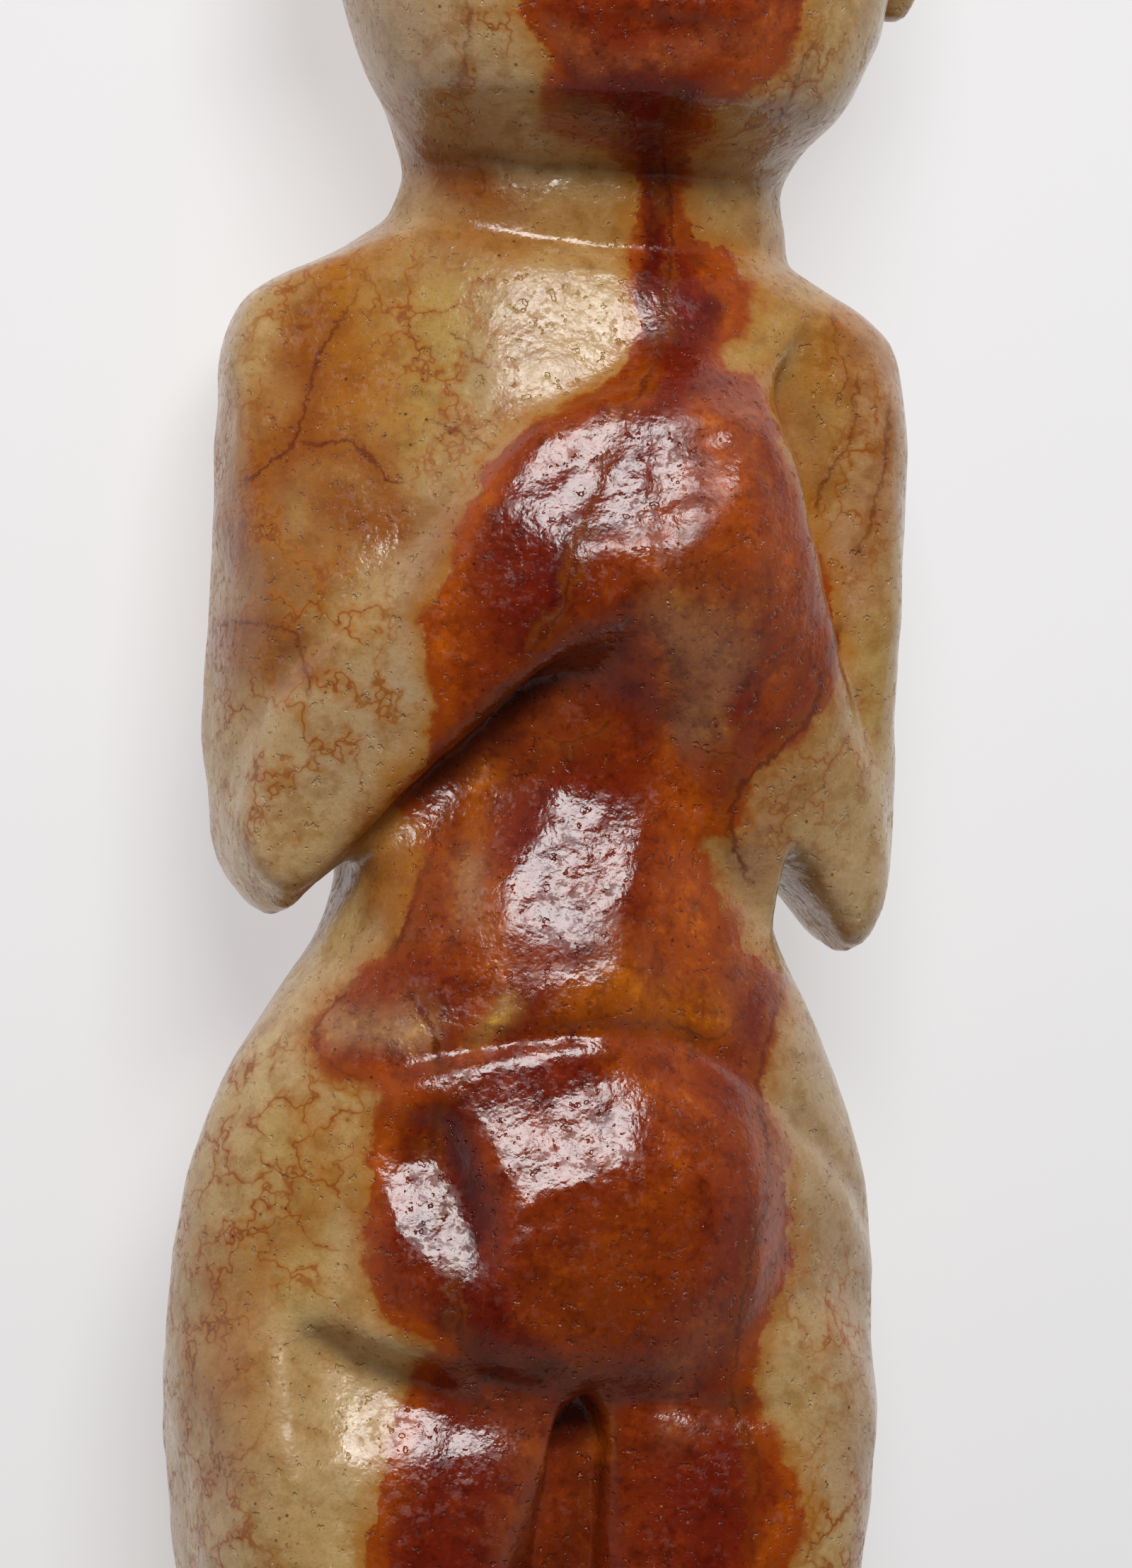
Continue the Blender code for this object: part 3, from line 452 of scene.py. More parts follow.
def from_line(x, y, points):
    """Distance to a smooth line through points, the share of it that is run there, and the side."""
    p = np.array(points, float)
    run = np.concatenate([[0], np.cumsum(np.hypot(*np.diff(p, axis=0).T))])
    fine = np.linspace(0, run[-1], 4 * len(p) + 1)
    smooth = [hermite(fine, run, values, np.gradient(values, run)) for values in p.T]
    return from_runs(x, y, np.stack(smooth, 1))


def from_runs(x, y, line):
    """The same for a line of straight runs; the side is -1 or 1."""
    best = np.full(x.shape, np.inf)
    share, side = np.zeros((2,) + x.shape)
    for i, (a, d) in enumerate(zip(line[:-1], np.diff(line, axis=0))):
        u, v = x - a[0], y - a[1]
        t = np.clip((u * d[0] + v * d[1]) / (d @ d), 0, 1)
        away = np.hypot(u - t * d[0], v - t * d[1])
        nearer = away < best
        best = np.where(nearer, away, best)
        share = np.where(nearer, (i + t) / (len(line) - 1), share)
        side = np.where(nearer, np.where(d[0] * v < d[1] * u, -1, 1), side)
    return best, share, side


def figure(x, y, z):
    """Field of the whole figure before its fine cuts."""
    body = either(trunk(x, y, z), arm_block(x, y, z), 0.7)
    body = either(body, legs(x, y, z), 1.6)
    body = both(body, thigh_flat(x, y, z), 1.0)
    body = both(body, -slot(x, y, z), 0.45)
    middle, reach, melt = FOREARM_MELT
    soft = melt * hump(((x - middle) / reach) ** 2) * step(y - 2, 3)
    body = either(body, arms(x, y, z), 0.5 + soft)
    return either(body, head(x, y, z), 1.8)


def sample(spacing):
    """The carved field on a grid: its values, first corner and spacing."""
    widest = max(width for _, width in TRUNK_HALF_WIDTH)
    deepest = BELLY_CENTRE[2] + BELLY_RADII[2]
    low = np.array((-widest - GRID_MARGIN, FOOT_CENTRE[1] - FOOT_RADII[1] - GRID_MARGIN, -GRID_MARGIN))
    high = np.array((widest + GRID_MARGIN, CROWN + GRID_MARGIN, deepest + 2 * GRID_MARGIN))
    axes = [np.arange(a, b + spacing, spacing) for a, b in zip(low, high)]
    x, y, z = np.meshgrid(*axes, indexing="ij")
    field = figure(x, y, z)
    gx, gy, gz = np.gradient(field, spacing)
    near = np.abs(field) < CUT_REACH
    facing = (gz / np.sqrt(gx * gx + gy * gy + gz * gz + 1e-9))[near]
    x, y, z = x[near], y[near], z[near]
    field[near] += line_cut(x, y, facing) + face_cut(x, y, z) * step(y - 30, 1.5) + ear_cut(x, y, z)
    field[near] += wear(x, y, z, facing)
    close_pinches(field)
    return field, low, spacing


def close_pinches(field):
    """Fill grid faces whose inside corners touch only across a diagonal, so no two skins share an edge."""
    for _ in range(PINCH_PASSES):
        for axes in ((0, 1), (0, 2), (1, 2)):
            turned = np.moveaxis(field, axes, (0, 1))
            corners = [turned[i:i - 1 or None, j:j - 1 or None] for i, j in np.ndindex(2, 2)]
            inner = [values < 0 for values in corners]
            pinched = (inner[0] == inner[3]) & (inner[1] == inner[2]) & (inner[0] != inner[1])
            for values, kept in zip(corners, inner):
                values[pinched & ~kept] = -PINCH_FILL


def skin(field, low, spacing):
    """Quads on the field's zero surface, with one vertex in each cell that it crosses."""
    cells = tuple(n - 1 for n in field.shape)
    total = np.zeros(cells + (3,))
    count = np.zeros(cells, int)
    corners = list(np.ndindex(2, 2, 2))
    values = [field[tuple(slice(c, c - 1 or None) for c in corner)] for corner in corners]
    for at, corner in enumerate(corners):
        for axis in range(3):
            if corner[axis]:
                continue
            a, b = values[at], values[at + (4, 2, 1)[axis]]
            crossed = (a < 0) != (b < 0)
            point = np.tile(np.array(corner, float), (crossed.sum(), 1))
            point[:, axis] += a[crossed] / (a[crossed] - b[crossed])
            total[crossed] += point
            count[crossed] += 1
    used = count > 0
    vertices = low + spacing * (np.argwhere(used) + total[used] / count[used][:, None])
    index = np.full(cells, -1)
    index[used] = np.arange(used.sum())
    inside = field < 0
    quads = []
    for axis in range(3):
        spots = np.argwhere(np.diff(inside, axis=axis))
        around = np.roll([(0, 1, 1), (0, 0, 1), (0, 0, 0), (0, 1, 0)], axis, 1)
        ring = np.stack([index[tuple((spots - back).T)] for back in around], 1)
        inner = inside[tuple(spots.T)]
        ring[~inner] = ring[~inner][:, ::-1]
        quads.append(ring)
    return vertices, np.concatenate(quads)


# The photograph's frame, in pixels, and the camera that gives it, in millimetres
FRAME = (1600.0, 2217.0)
PIXEL = 0.02841
YAW = math.radians(16)
ROLL = math.radians(3.8)
DISTANCE = 600.0
SENSOR = 36
AXIS_PIXEL = (781.0, 1270.0)
AXIS_DEPTH = 9.5

TOWARDS = np.array((-math.sin(YAW), 0, math.cos(YAW)))
ACROSS = np.array((math.cos(YAW), 0, math.sin(YAW)))
UP = np.array((0, 1.0, 0)) * math.cos(ROLL) - ACROSS * math.sin(ROLL)
RIGHT = np.cross(UP, TOWARDS)
AIM = (np.array((0, 0, AXIS_DEPTH)) + RIGHT * (FRAME[0] / 2 - AXIS_PIXEL[0]) * PIXEL
       - UP * (FRAME[1] / 2 - AXIS_PIXEL[1]) * PIXEL)


def chart(x, y, z):
    """Pixel of the photograph's frame in which a point of the figure shows."""
    p = [x - AIM[0], y - AIM[1], z - AIM[2]]
    depth = DISTANCE - sum(a * b for a, b in zip(p, TOWARDS))
    zoom = DISTANCE / depth / PIXEL
    return (FRAME[0] / 2 + sum(a * b for a, b in zip(p, RIGHT)) * zoom,
            FRAME[1] / 2 - sum(a * b for a, b in zip(p, UP)) * zoom)


def waves(x, y, z, length, seed):
    """Smooth random relief of about that wavelength, mostly between -1 and 1."""
    random = np.random.RandomState(seed)
    total = np.zeros(np.shape(x))
    for _ in range(WAVE_COUNT):
        d = random.normal(size=3)
        d *= 2 * np.pi / (np.linalg.norm(d) * length * random.uniform(0.7, 1.5))
        total += np.sin(x * d[0] + y * d[1] + z * d[2] + random.uniform(0, 2 * np.pi))
    return total / math.sqrt(WAVE_COUNT / 2)


# Small carved and worn marks on the front: depth in hundredths of a mm (raised below zero), then half-width
# and points in frame pixels
MARKS = [
    (-12, 18, (655, 1585), (668, 1650), (688, 1712)),
    (-12, 8, (735, 1722), (770, 1690), (800, 1680), (835, 1665)),
    (12, 9, (742, 1742), (790, 1712), (845, 1694)), (-7, 7, (700, 1780), (745, 1752), (770, 1745)),
    (10, 14, (862, 610), (838, 670), (822, 720), (805, 770)), (8, 7, (800, 712), (850, 690), (905, 690)),
    (6, 6, (842, 768), (905, 750), (950, 742)), (-7, 8, (925, 792), (940, 775), (950, 758)),
    (-7, 6, (560, 1503), (640, 1478), (700, 1467), (780, 1460), (860, 1456), (925, 1448)),
    (-5, 7, (960, 1490), (1020, 1520), (1062, 1552)),
    (-8, 6, (648, 362), (760, 360), (850, 374), (898, 392)), (-8, 6, (762, 262), (840, 264), (908, 274)),
    (10, 8, (600, 1884), (650, 1902), (740, 1930), (806, 1950)),
    (-13, 8, (440, 1848), (560, 1888), (650, 1920), (740, 1948), (806, 1968)),
    (-28, 26, (470, 1880), (560, 1912), (650, 1946), (720, 1974)),
    (-24, 22, (424, 1866), (500, 1884), (590, 1908), (680, 1944)),
    (-6, 5, (345, 1065), (430, 960), (520, 860), (600, 770), (680, 690), (722, 644)),
    (12, 16, (330, 1045), (412, 940), (500, 842), (582, 752), (662, 672), (704, 628)),
    (10, 12, (690, 1362), (760, 1368), (840, 1362), (885, 1345)),
    (-6, 6, (1150, 1655), (1190, 1710), (1215, 1765)), (8, 9, (795, 1135), (812, 1150), (832, 1142)),
    (12, 12, (930, 600), (905, 660), (925, 720)), (26, 34, (1000, 600), (1010, 660), (1004, 730)),
    (10, 9, (862, 704), (930, 678), (990, 650)), (11, 10, (868, 736), (940, 712), (1005, 688)),
    (12, 11, (884, 768), (945, 748), (1005, 728)), (14, 15, (950, 640), (990, 622), (1040, 622)),
    (13, 15, (950, 790), (900, 800), (850, 840)), (-10, 12, (800, 790), (850, 770), (900, 776)),
    (10, 12, (800, 1290), (830, 1250), (880, 1240)), (12, 14, (880, 1560), (850, 1590), (880, 1630)),
    (7, 7, (742, 700), (790, 664), (842, 634)), (6, 6, (760, 745), (810, 722), (850, 716)),
    (7, 7, (700, 1640), (770, 1650), (840, 1622)), (7, 7, (720, 1560), (760, 1600), (850, 1590)),
    (8, 7, (545, 1640), (580, 1650), (630, 1640)), (8, 8, (570, 1710), (600, 1730), (640, 1700)),
    (7, 7, (600, 2070), (650, 2085), (700, 2064)), (12, 13, (720, 1290), (760, 1240), (790, 1200)),
    (12, 12, (800, 1520), (780, 1590), (812, 1640)), (12, 11, (600, 1620), (570, 1670), (590, 1730)),
    (10, 12, (560, 1990), (620, 2010), (660, 2050)),
]


def close_by(across, down, points, reach):
    """Which places lie in the box that is so much wider all round than a line."""
    low = np.min(points, axis=0) - reach
    high = np.max(points, axis=0) + reach
    return np.flatnonzero((across > low[0]) & (across < high[0]) & (down > low[1]) & (down < high[1]))


def marks(x, y, z):
    across, down = chart(x, y, z)
    cut = np.zeros(across.shape)
    for depth, width, *points in MARKS:
        near = close_by(across, down, points, 3 * width)
        away, share, _ = from_line(across[near], down[near], points)
        cut[near] += depth / 100 * taper(share, 5) * hump(away / width)
    return cut


def wear(x, y, z, facing):
    """Hand-polished unevenness everywhere, and the marks on the front."""
    uneven = 0.048 * waves(x, y, z, 6.0, 3) + 0.028 * waves(x, y, z, 2.8, 4)
    uneven += 0.011 * waves(x, y, z, 1.4, 5)
    return uneven + marks(x, y, z) * np.clip(2.5 * facing, 0, 1)


# Colours of the stone as they look in plain light, 0 to 255; some, as marked, are painted light, shade,
# reflection or sheen
PALE = (158, 128, 84)
# Partly painted light: lighter pale stone, laid on the lit left thigh and left jaw; also the colour of pale
# dust
BRIGHT = (166, 138, 99)
OLIVE = (148, 118, 62)
# Partly painted reflection: greyer pale stone, also laid as a pale rim reflection on the right hip and thigh
GREY = (150, 124, 95)
TAN = (146, 106, 60)
ROSE = (148, 108, 76)
OCHRE = (144, 90, 32)
UMBER = (130, 84, 44)
BROWN = (122, 66, 28)
RUST = (128, 58, 18)
AMBER = (140, 72, 22)
ORANGE = (142, 66, 14)
HONEY = (116, 53, 20)
# Painted shade: dark brown for the hollow under the hands and the slot between the legs
SHADE_BROWN = (94, 42, 10)
# Painted sheen: a mauve reflection laid in strokes over the red stone and along the lower lip
MAUVE_SHEEN = (122, 64, 42)
RED = (112, 46, 15)
MAROON = (93, 33, 15)
DARK = (66, 25, 14)
VEIN = (78, 32, 15)

# Broad tones of the pale stone, laid one over the other, some of them painted light, shade or reflection as
# marked: colour, half-width, strength in percent, points.
# From here on widths and points are in frame pixels.
PALE_TONES = [
    # Painted light: the second lighter stroke here brightens the lit left thigh
    (BRIGHT, 110, 80, (350, 1200), (400, 1500)), (BRIGHT, 90, 60, (520, 1790), (480, 2080)),
    # Painted light: the second lighter stroke here brightens the lit left jaw
    (BRIGHT, 110, 100, (1230, 1100), (1190, 1350)), (BRIGHT, 80, 80, (560, 20), (600, 110), (720, 180)),
    (BRIGHT, 50, 80, (1100, 110), (1090, 200)), (GREY, 110, 80, (560, 60), (540, 120), (640, 190)),
    # Painted pale reflection along the right thigh's rim
    (GREY, 90, 80, (1230, 1850), (1200, 2040)),
    (GREY, 80, 80, (690, 480), (640, 640), (560, 940), (480, 1100)),
    (GREY, 60, 70, (1110, 120), (1100, 210), (1000, 260)),
    # Painted pale reflection along the right hip's rim
    (GREY, 90, 80, (1130, 1450), (1150, 1600), (1170, 1760)),
    (OLIVE, 90, 80, (620, 420), (600, 560), (520, 640)),
    (OLIVE, 80, 60, (1080, 440), (1150, 620), (1210, 1020)), (OLIVE, 60, 60, (400, 1600), (440, 1820)),
    (TAN, 70, 80, (820, 320), (700, 330), (1000, 330), (1090, 390)),
    (TAN, 60, 70, (300, 1780), (320, 2050)), (TAN, 46, 70, (1150, 1080), (1060, 1180)),
    (ROSE, 60, 90, (1230, 460), (1225, 660), (1200, 850)),
    (ROSE, 50, 80, (1060, 660), (1090, 880), (1075, 1060), (1060, 1280)),
    (ROSE, 30, 70, (300, 560), (310, 760)), (OCHRE, 80, 100, (490, 370), (490, 520), (440, 600)),
    (OCHRE, 50, 70, (1180, 470), (1130, 560)), (OCHRE, 40, 70, (560, 1120), (620, 1130)),
    (OCHRE, 44, 60, (470, 1600), (450, 1720), (400, 1760), (310, 1960)),
    (UMBER, 60, 90, (600, 200), (660, 260), (640, 300)),
    (UMBER, 60, 90, (540, 700), (460, 780), (380, 840), (350, 930)),
    (UMBER, 30, 70, (1010, 560), (1090, 600), (1130, 700)),
    (BROWN, 50, 100, (450, 450), (415, 600), (370, 680), (350, 760)),
    (BROWN, 40, 80, (470, 700), (510, 740), (560, 720)), (UMBER, 50, 80, (320, 900), (400, 930)),
    (BROWN, 24, 70, (430, 630), (500, 630), (560, 690)),
    (BROWN, 22, 70, (300, 890), (400, 890), (440, 960)), (BROWN, 26, 70, (610, 220), (690, 240)),
    (UMBER, 30, 80, (650, 720), (612, 800), (598, 880)),
    # Painted shade: the brown stroke here darkens the left flank under the left forearm
    (BROWN, 34, 90, (590, 1130), (575, 1210), (560, 1290)), (OCHRE, 34, 80, (530, 1160), (520, 1260)),
]
# The same for the stained stone, with painted shade in the hollow under the hands and down the slot, and a
# painted mauve sheen
STAIN_TONES = [
    (MAROON, 100, 90, (870, 90), (935, 300), (940, 430)),
    (ORANGE, 30, 90, (1095, 20), (1060, 95), (1000, 150)),
    (RUST, 24, 80, (770, 60), (785, 140), (830, 185)), (MAROON, 44, 90, (860, 150), (990, 165)),
    (ORANGE, 20, 90, (905, 300), (905, 420)), (ORANGE, 30, 80, (1000, 350), (1046, 410), (1036, 460)),
    (MAROON, 50, 85, (960, 390), (970, 500)),
    (DARK, 20, 80, (950, 110), (938, 230), (940, 330), (928, 500)),
    (MAROON, 74, 95, (890, 600), (800, 700), (760, 860)),
    (ORANGE, 34, 100, (705, 665), (662, 740), (630, 850), (620, 990)),
    (RUST, 30, 70, (780, 610), (850, 560), (900, 530)),
    (DARK, 26, 70, (900, 700), (830, 780), (790, 860), (730, 930)),
    (ORANGE, 50, 90, (1025, 600), (1060, 740)), (MAROON, 40, 80, (960, 540), (1040, 560)),
    (RUST, 44, 90, (940, 760), (900, 830)), (ORANGE, 40, 90, (1090, 780), (1110, 850)),
    (HONEY, 50, 100, (980, 800), (1040, 850), (970, 900), (1050, 920)),
    (ROSE, 56, 50, (1000, 900), (1040, 960), (1000, 1050)),
    (MAROON, 34, 90, (1150, 900), (1110, 980), (1070, 1040)),
    (RUST, 26, 90, (1120, 860), (1140, 920), (1110, 1000)),
    # Painted mauve sheen along the right forearm's side
    (MAUVE_SHEEN, 18, 70, (1060, 560), (1130, 740), (1160, 860)), (ORANGE, 16, 90, (943, 920), (942, 1110)),
    (RED, 34, 80, (870, 870), (900, 1000), (880, 1080)), (MAROON, 30, 90, (870, 980), (800, 1040)),
    # Painted shadow in the hollow under the hands and the left forearm
    (SHADE_BROWN, 50, 80, (830, 940), (740, 1010), (640, 1080)),
    (HONEY, 40, 80, (810, 940), (770, 1090), (690, 1130)),
    (AMBER, 30, 80, (700, 1080), (660, 1160), (620, 1230)), (ROSE, 36, 80, (640, 1250), (650, 1300)),
    (MAROON, 60, 90, (850, 1130), (770, 1250), (830, 1320), (740, 1420)),
    (ORANGE, 46, 100, (930, 1120), (950, 1200), (975, 1290)),
    (AMBER, 54, 100, (820, 1420), (900, 1380), (1000, 1420)), (ORANGE, 30, 90, (985, 1200), (1010, 1300)),
    # Painted mauve sheen down the right side of the waist
    (MAUVE_SHEEN, 32, 90, (1045, 1290), (1065, 1420), (1070, 1560)), (MAROON, 26, 80, (1075, 1420), (1062, 1560)),
    (HONEY, 34, 90, (600, 1240), (600, 1330)), (ORANGE, 30, 70, (700, 1270), (680, 1340)),
    (RUST, 44, 100, (650, 1370), (660, 1480)), (MAROON, 28, 80, (590, 1400), (610, 1520)),
    (TAN, 22, 80, (665, 1450), (700, 1410)), (ROSE, 36, 90, (490, 1460), (555, 1448)),
    (ORANGE, 34, 80, (880, 1500), (980, 1600), (960, 1680)),
    (RUST, 34, 80, (1080, 1600), (1090, 1760), (1070, 1880)), (MAROON, 44, 80, (720, 1540), (850, 1530)),
    (ORANGE, 30, 90, (545, 1560), (530, 1700), (560, 1860), (640, 1890)),
    (MAROON, 50, 95, (610, 1600), (640, 1740), (720, 1880)),
    (DARK, 26, 70, (640, 1540), (650, 1700), (640, 1840)),
    (HONEY, 70, 70, (810, 1760), (900, 1780), (860, 1860)), (ORANGE, 30, 60, (760, 1850), (820, 1930)),
    # Painted mauve sheen on the right thigh, and next line a painted highlight along the lower lip
    (MAROON, 36, 60, (1040, 1720), (1020, 1860)), (MAUVE_SHEEN, 24, 80, (1000, 1860), (970, 1980), (1030, 2010)),
    (MAUVE_SHEEN, 26, 80, (760, 45), (930, 50), (1060, 40)),
    (MAROON, 110, 85, (680, 2000), (640, 2180), (640, 2500), (700, 2900)),
    (ORANGE, 28, 90, (590, 1980), (555, 2110), (540, 2210)),
    # Painted mauve sheen on the thigh beside the slot
    (MAUVE_SHEEN, 40, 60, (700, 1960), (740, 2060), (700, 2160)), (RED, 30, 80, (780, 2050), (770, 2180)),
    (MAROON, 90, 80, (1000, 2090), (980, 2500), (950, 2900)),
    (ORANGE, 30, 90, (1085, 2060), (1115, 2130), (1100, 2200)),
    # Painted shade down the slot between the legs
    (SHADE_BROWN, 34, 90, (830, 2000), (820, 2110), (805, 2217), (790, 2600)),
    (ORANGE, 16, 80, (835, 1970), (838, 2020)),
]
STAIN_OUTLINE = [
    (740, -230), (770, -60), (750, 20), (762, 60), (785, 90), (775, 130), (775, 160), (815, 188),
    (860, 205), (890, 235), (905, 270), (903, 330), (900, 420), (905, 480), (880, 520), (850, 550),
    (790, 585), (730, 622), (700, 655), (675, 700), (652, 735), (650, 780), (635, 820), (612, 855),
    (600, 900), (610, 950), (622, 1000), (612, 1040), (590, 1090), (560, 1140), (600, 1150), (612, 1190),
    (598, 1230), (578, 1290), (560, 1335), (528, 1368), (480, 1408), (450, 1455), (450, 1490), (490, 1520),
    (545, 1540), (540, 1580), (528, 1640), (524, 1700), (520, 1750), (530, 1800), (545, 1850), (585, 1880),
    (625, 1905), (600, 1940), (572, 1990), (552, 2060), (540, 2110), (530, 2160), (518, 2217), (540, 2400),
    (600, 2560), (680, 2760), (740, 2980), (900, 3000), (1000, 2700), (1060, 2400), (1100, 2260),
    (1112, 2200), (1132, 2150), (1120, 2100), (1095, 2050), (1068, 2010), (1058, 1960), (1070, 1900),
    (1085, 1850), (1110, 1800), (1115, 1740), (1106, 1680), (1096, 1620), (1076, 1550), (1080, 1500),
    (1092, 1450), (1106, 1410), (1098, 1375), (1060, 1350), (1028, 1300), (1000, 1240), (985, 1180),
    (1040, 1160), (1065, 1085), (1120, 1045), (1165, 1000), (1182, 930), (1176, 880), (1162, 840),
    (1144, 780), (1126, 710), (1102, 640), (1082, 580), (1060, 540), (1012, 505), (1022, 480), (1050, 460),
    (1056, 430), (1050, 400), (1038, 375), (1008, 350), (975, 330), (960, 300), (960, 270), (966, 235),
    (988, 210), (1004, 190), (1000, 165), (1050, 130), (1110, 70), (1135, 0), (1120, -80), (1040, -260),
    (900, -330),
]

# Dark veins in three sets, so that no two of one set run close: half-width, strength in percent, points
VEINS = [
    [(6, 85, (960, 100), (950, 150), (938, 200), (940, 250), (946, 300), (948, 360), (938, 430),
      (932, 505)),
     (3.2, 80, (512, 397), (497, 428), (460, 481), (444, 524), (426, 588), (417, 622), (380, 657),
      (334, 690)),
     (2.8, 65, (300, 884), (345, 880), (380, 887), (412, 896), (430, 940), (438, 990)),
     (4, 65, (1107, 1362), (1102, 1399), (1083, 1479), (1070, 1543), (1083, 1607), (1083, 1703),
      (1059, 1783), (1049, 1853), (1040, 1917), (1034, 1975), (1064, 2040), (1072, 2090), (1062, 2150),
      (1066, 2230)),
     (3.6, 50, (530, 1367), (490, 1400), (462, 1430), (446, 1462), (452, 1492), (483, 1515), (524, 1534)),
     (4.5, 70, (1188, 868), (1182, 900), (1168, 950), (1149, 1005), (1116, 1048), (1076, 1080),
      (1046, 1116), (1032, 1162), (1046, 1215), (1064, 1258)),
     (4.2, 65, (640, 1120), (623, 1160), (605, 1222), (574, 1300), (552, 1360)),
     (3, 45, (655, -20), (664, 50), (650, 110), (648, 150)),
     (3, 55, (1256, 560), (1254, 617), (1238, 720), (1204, 795)),
     (2.6, 45, (1150, 60), (1128, 100), (1118, 140), (1084, 180))],
    [(5, 75, (935, 505), (900, 560), (862, 630), (846, 680), (828, 753), (807, 812), (796, 862), (764, 903),
      (732, 938)),
     (3.4, 80, (417, 622), (439, 629), (465, 623), (492, 624), (519, 641), (540, 668), (574, 688)),
     (2.4, 60, (631, 465), (655, 481), (668, 508), (690, 518), (706, 519)),
     (6, 70, (553, 1373), (585, 1410), (608, 1453), (622, 1506), (622, 1554), (610, 1607), (640, 1757),
      (649, 1863), (650, 1917), (640, 1960)),
     (3.2, 60, (936, 1440), (960, 1452), (995, 1469), (1027, 1460), (1049, 1430)),
     (2.6, 50, (1076, 1077), (1040, 1069), (1005, 1064), (978, 1057)),
     (2.8, 55, (1214, 520), (1205, 600), (1188, 643), (1162, 683), (1155, 735)),
     (3.2, 50, (600, 190), (630, 228), (676, 236), (686, 262), (668, 285))],
    [(2.6, 55, (612, 594), (647, 612), (672, 622), (702, 636)),
     (7, 55, (735, 940), (700, 990), (655, 1050), (620, 1090), (590, 1118)),
     (3, 55, (761, 1040), (800, 1051), (838, 1038), (874, 1018)),
     (2.4, 45, (1180, 420), (1182, 493), (1196, 515), (1188, 567))],
]

# How far round a vein its distance is kept, and over what width that fades
VEIN_REACH = 46
VEIN_FADE = 14

# Where the polish is worn dull: half-width, strength in percent, points
DULL = [
    (40, 100, (392, 1900), (400, 1980), (404, 2060)), (60, 50, (660, 420), (760, 420), (870, 430)),
    (50, 50, (700, 540), (790, 500)), (40, 50, (480, 1890), (500, 1980), (520, 2060)),
    (40, 90, (990, 600), (1020, 680), (1000, 760)), (26, 50, (655, 1570), (670, 1680), (700, 1780)),
    (30, 40, (700, 1330), (860, 1330)), (26, 60, (870, 790), (930, 770), (990, 790)),
]

# Where a network of brown cracks crosses the pale stone: half-width, strength in percent, points
CRACKED = [
    (90, 100, (340, 700), (400, 860), (330, 1000)), (70, 90, (460, 860), (480, 1000), (360, 1140)),
    (110, 90, (430, 440), (560, 440), (640, 560)), (60, 70, (350, 560), (330, 700)),
    (80, 100, (330, 1560), (290, 1760), (280, 2000), (320, 2200)),
    (70, 100, (420, 1560), (430, 1700), (420, 1800)), (50, 90, (500, 1540), (480, 1640), (505, 1740)),
    (60, 100, (1150, 2060), (1210, 2200)), (60, 80, (1150, 1800), (1210, 1900)),
    (70, 80, (1210, 560), (1190, 760)), (50, 80, (660, 40), (640, 140)), (60, 90, (1140, 60), (1060, 200)),
    (60, 70, (1170, 1040), (1120, 1160)), (120, 50, (480, -120), (620, -500)),
    (120, 50, (1120, -300), (1000, -650)), (140, 60, (330, 2500), (520, 3000)),
    (140, 60, (1150, 2500), (1000, 3000)),
]


def inside(across, down, outline):
    """Whether points lie in a closed outline, by counting the edges that a level line crosses."""
    found = np.zeros(across.shape, bool)
    for (ax, ay), (bx, by) in zip(outline, outline[1:] + outline[:1]):
        if ay == by:
            continue
        span = (down > min(ay, by)) & (down <= max(ay, by))
        found ^= span & (across < ax + (down - ay) * (bx - ax) / (by - ay))
    return found


def linear(colour):
    """Scene values of a colour given as it looks, 0 to 255."""
    c = np.array(colour, float) / 255
    return np.where(c < 0.04045, c / 12.92, ((c + 0.055) / 1.055) ** 2.4)


def body_colour(seen):
    """Colour of the stone itself: what is seen, less the gloss, under this scene's light."""
    return np.clip(linear(seen) - GLOSS, 0.002, 1) / LIGHT


def paint(across, down, base, tones):
    """Base colour with broad soft strokes laid over it."""
    out = np.tile(body_colour(base), (len(across), 1))
    for colour, width, strength, *points in tones:
        near = close_by(across, down, points, 2.5 * width)
        away = from_line(across[near], down[near], points)[0]
        share = (strength / 100 * hump(away / width))[:, None]
        out[near] = out[near] * (1 - share) + body_colour(colour) * share
    return out


def spread(across, down, strokes):
    """How far each place lies in the strongest of some soft strokes, 0 to 1."""
    out = np.zeros(len(across))
    for width, strength, *points in strokes:
        out = np.maximum(out, strength / 100 * hump(from_line(across, down, points)[0] / width))
    return out


def vein_field(across, down, front, veins):
    """At each vertex, distance to the nearest vein, below zero on one side, its strength and half-width."""
    out = np.tile((9.0, 0.0, 0.1), (len(across), 1))
    for width, strength, *points in veins:
        near = close_by(across, down, points, VEIN_REACH)
        away, share, _ = from_line(across[near], down[near], points)
        closer = away < np.minimum(np.abs(out[near, 0]) / PIXEL, VEIN_REACH)
        near, away, share = near[closer], away[closer], share[closer]
        side = from_runs(across[near], down[near], np.array(points, float))[2]
        fade = np.clip((VEIN_REACH - away) / VEIN_FADE, 0, 1)
        out[near, 0] = away * PIXEL * side
        out[near, 1] = strength / 100 * taper(share, 12) * fade * front[near]
        out[near, 2] = width * PIXEL
    return out


def smoothed(vertices, quads):
    """Vertices moved part of the way to the middle of their neighbours."""
    a = quads.T.ravel()
    b = np.roll(quads, -1, 1).T.ravel()
    count = np.bincount(a)[:, None]
    for _ in range(SMOOTH_PASSES):
        middle = np.stack([np.bincount(a, axis[b]) for axis in vertices.T], 1) / count
        vertices = vertices + SMOOTH_SHARE * (middle - vertices)
    return vertices


def normals(vertices, quads):
    """Unit normal of each vertex."""
    a, b, c, d = (vertices[corner] for corner in quads.T)
    cross = np.cross(c - a, d - b)
    n = len(vertices)
    total = np.stack([sum(np.bincount(corner, axis, n) for corner in quads.T) for axis in cross.T], 1)
    return total / (np.linalg.norm(total, axis=1)[:, None] + 1e-12)


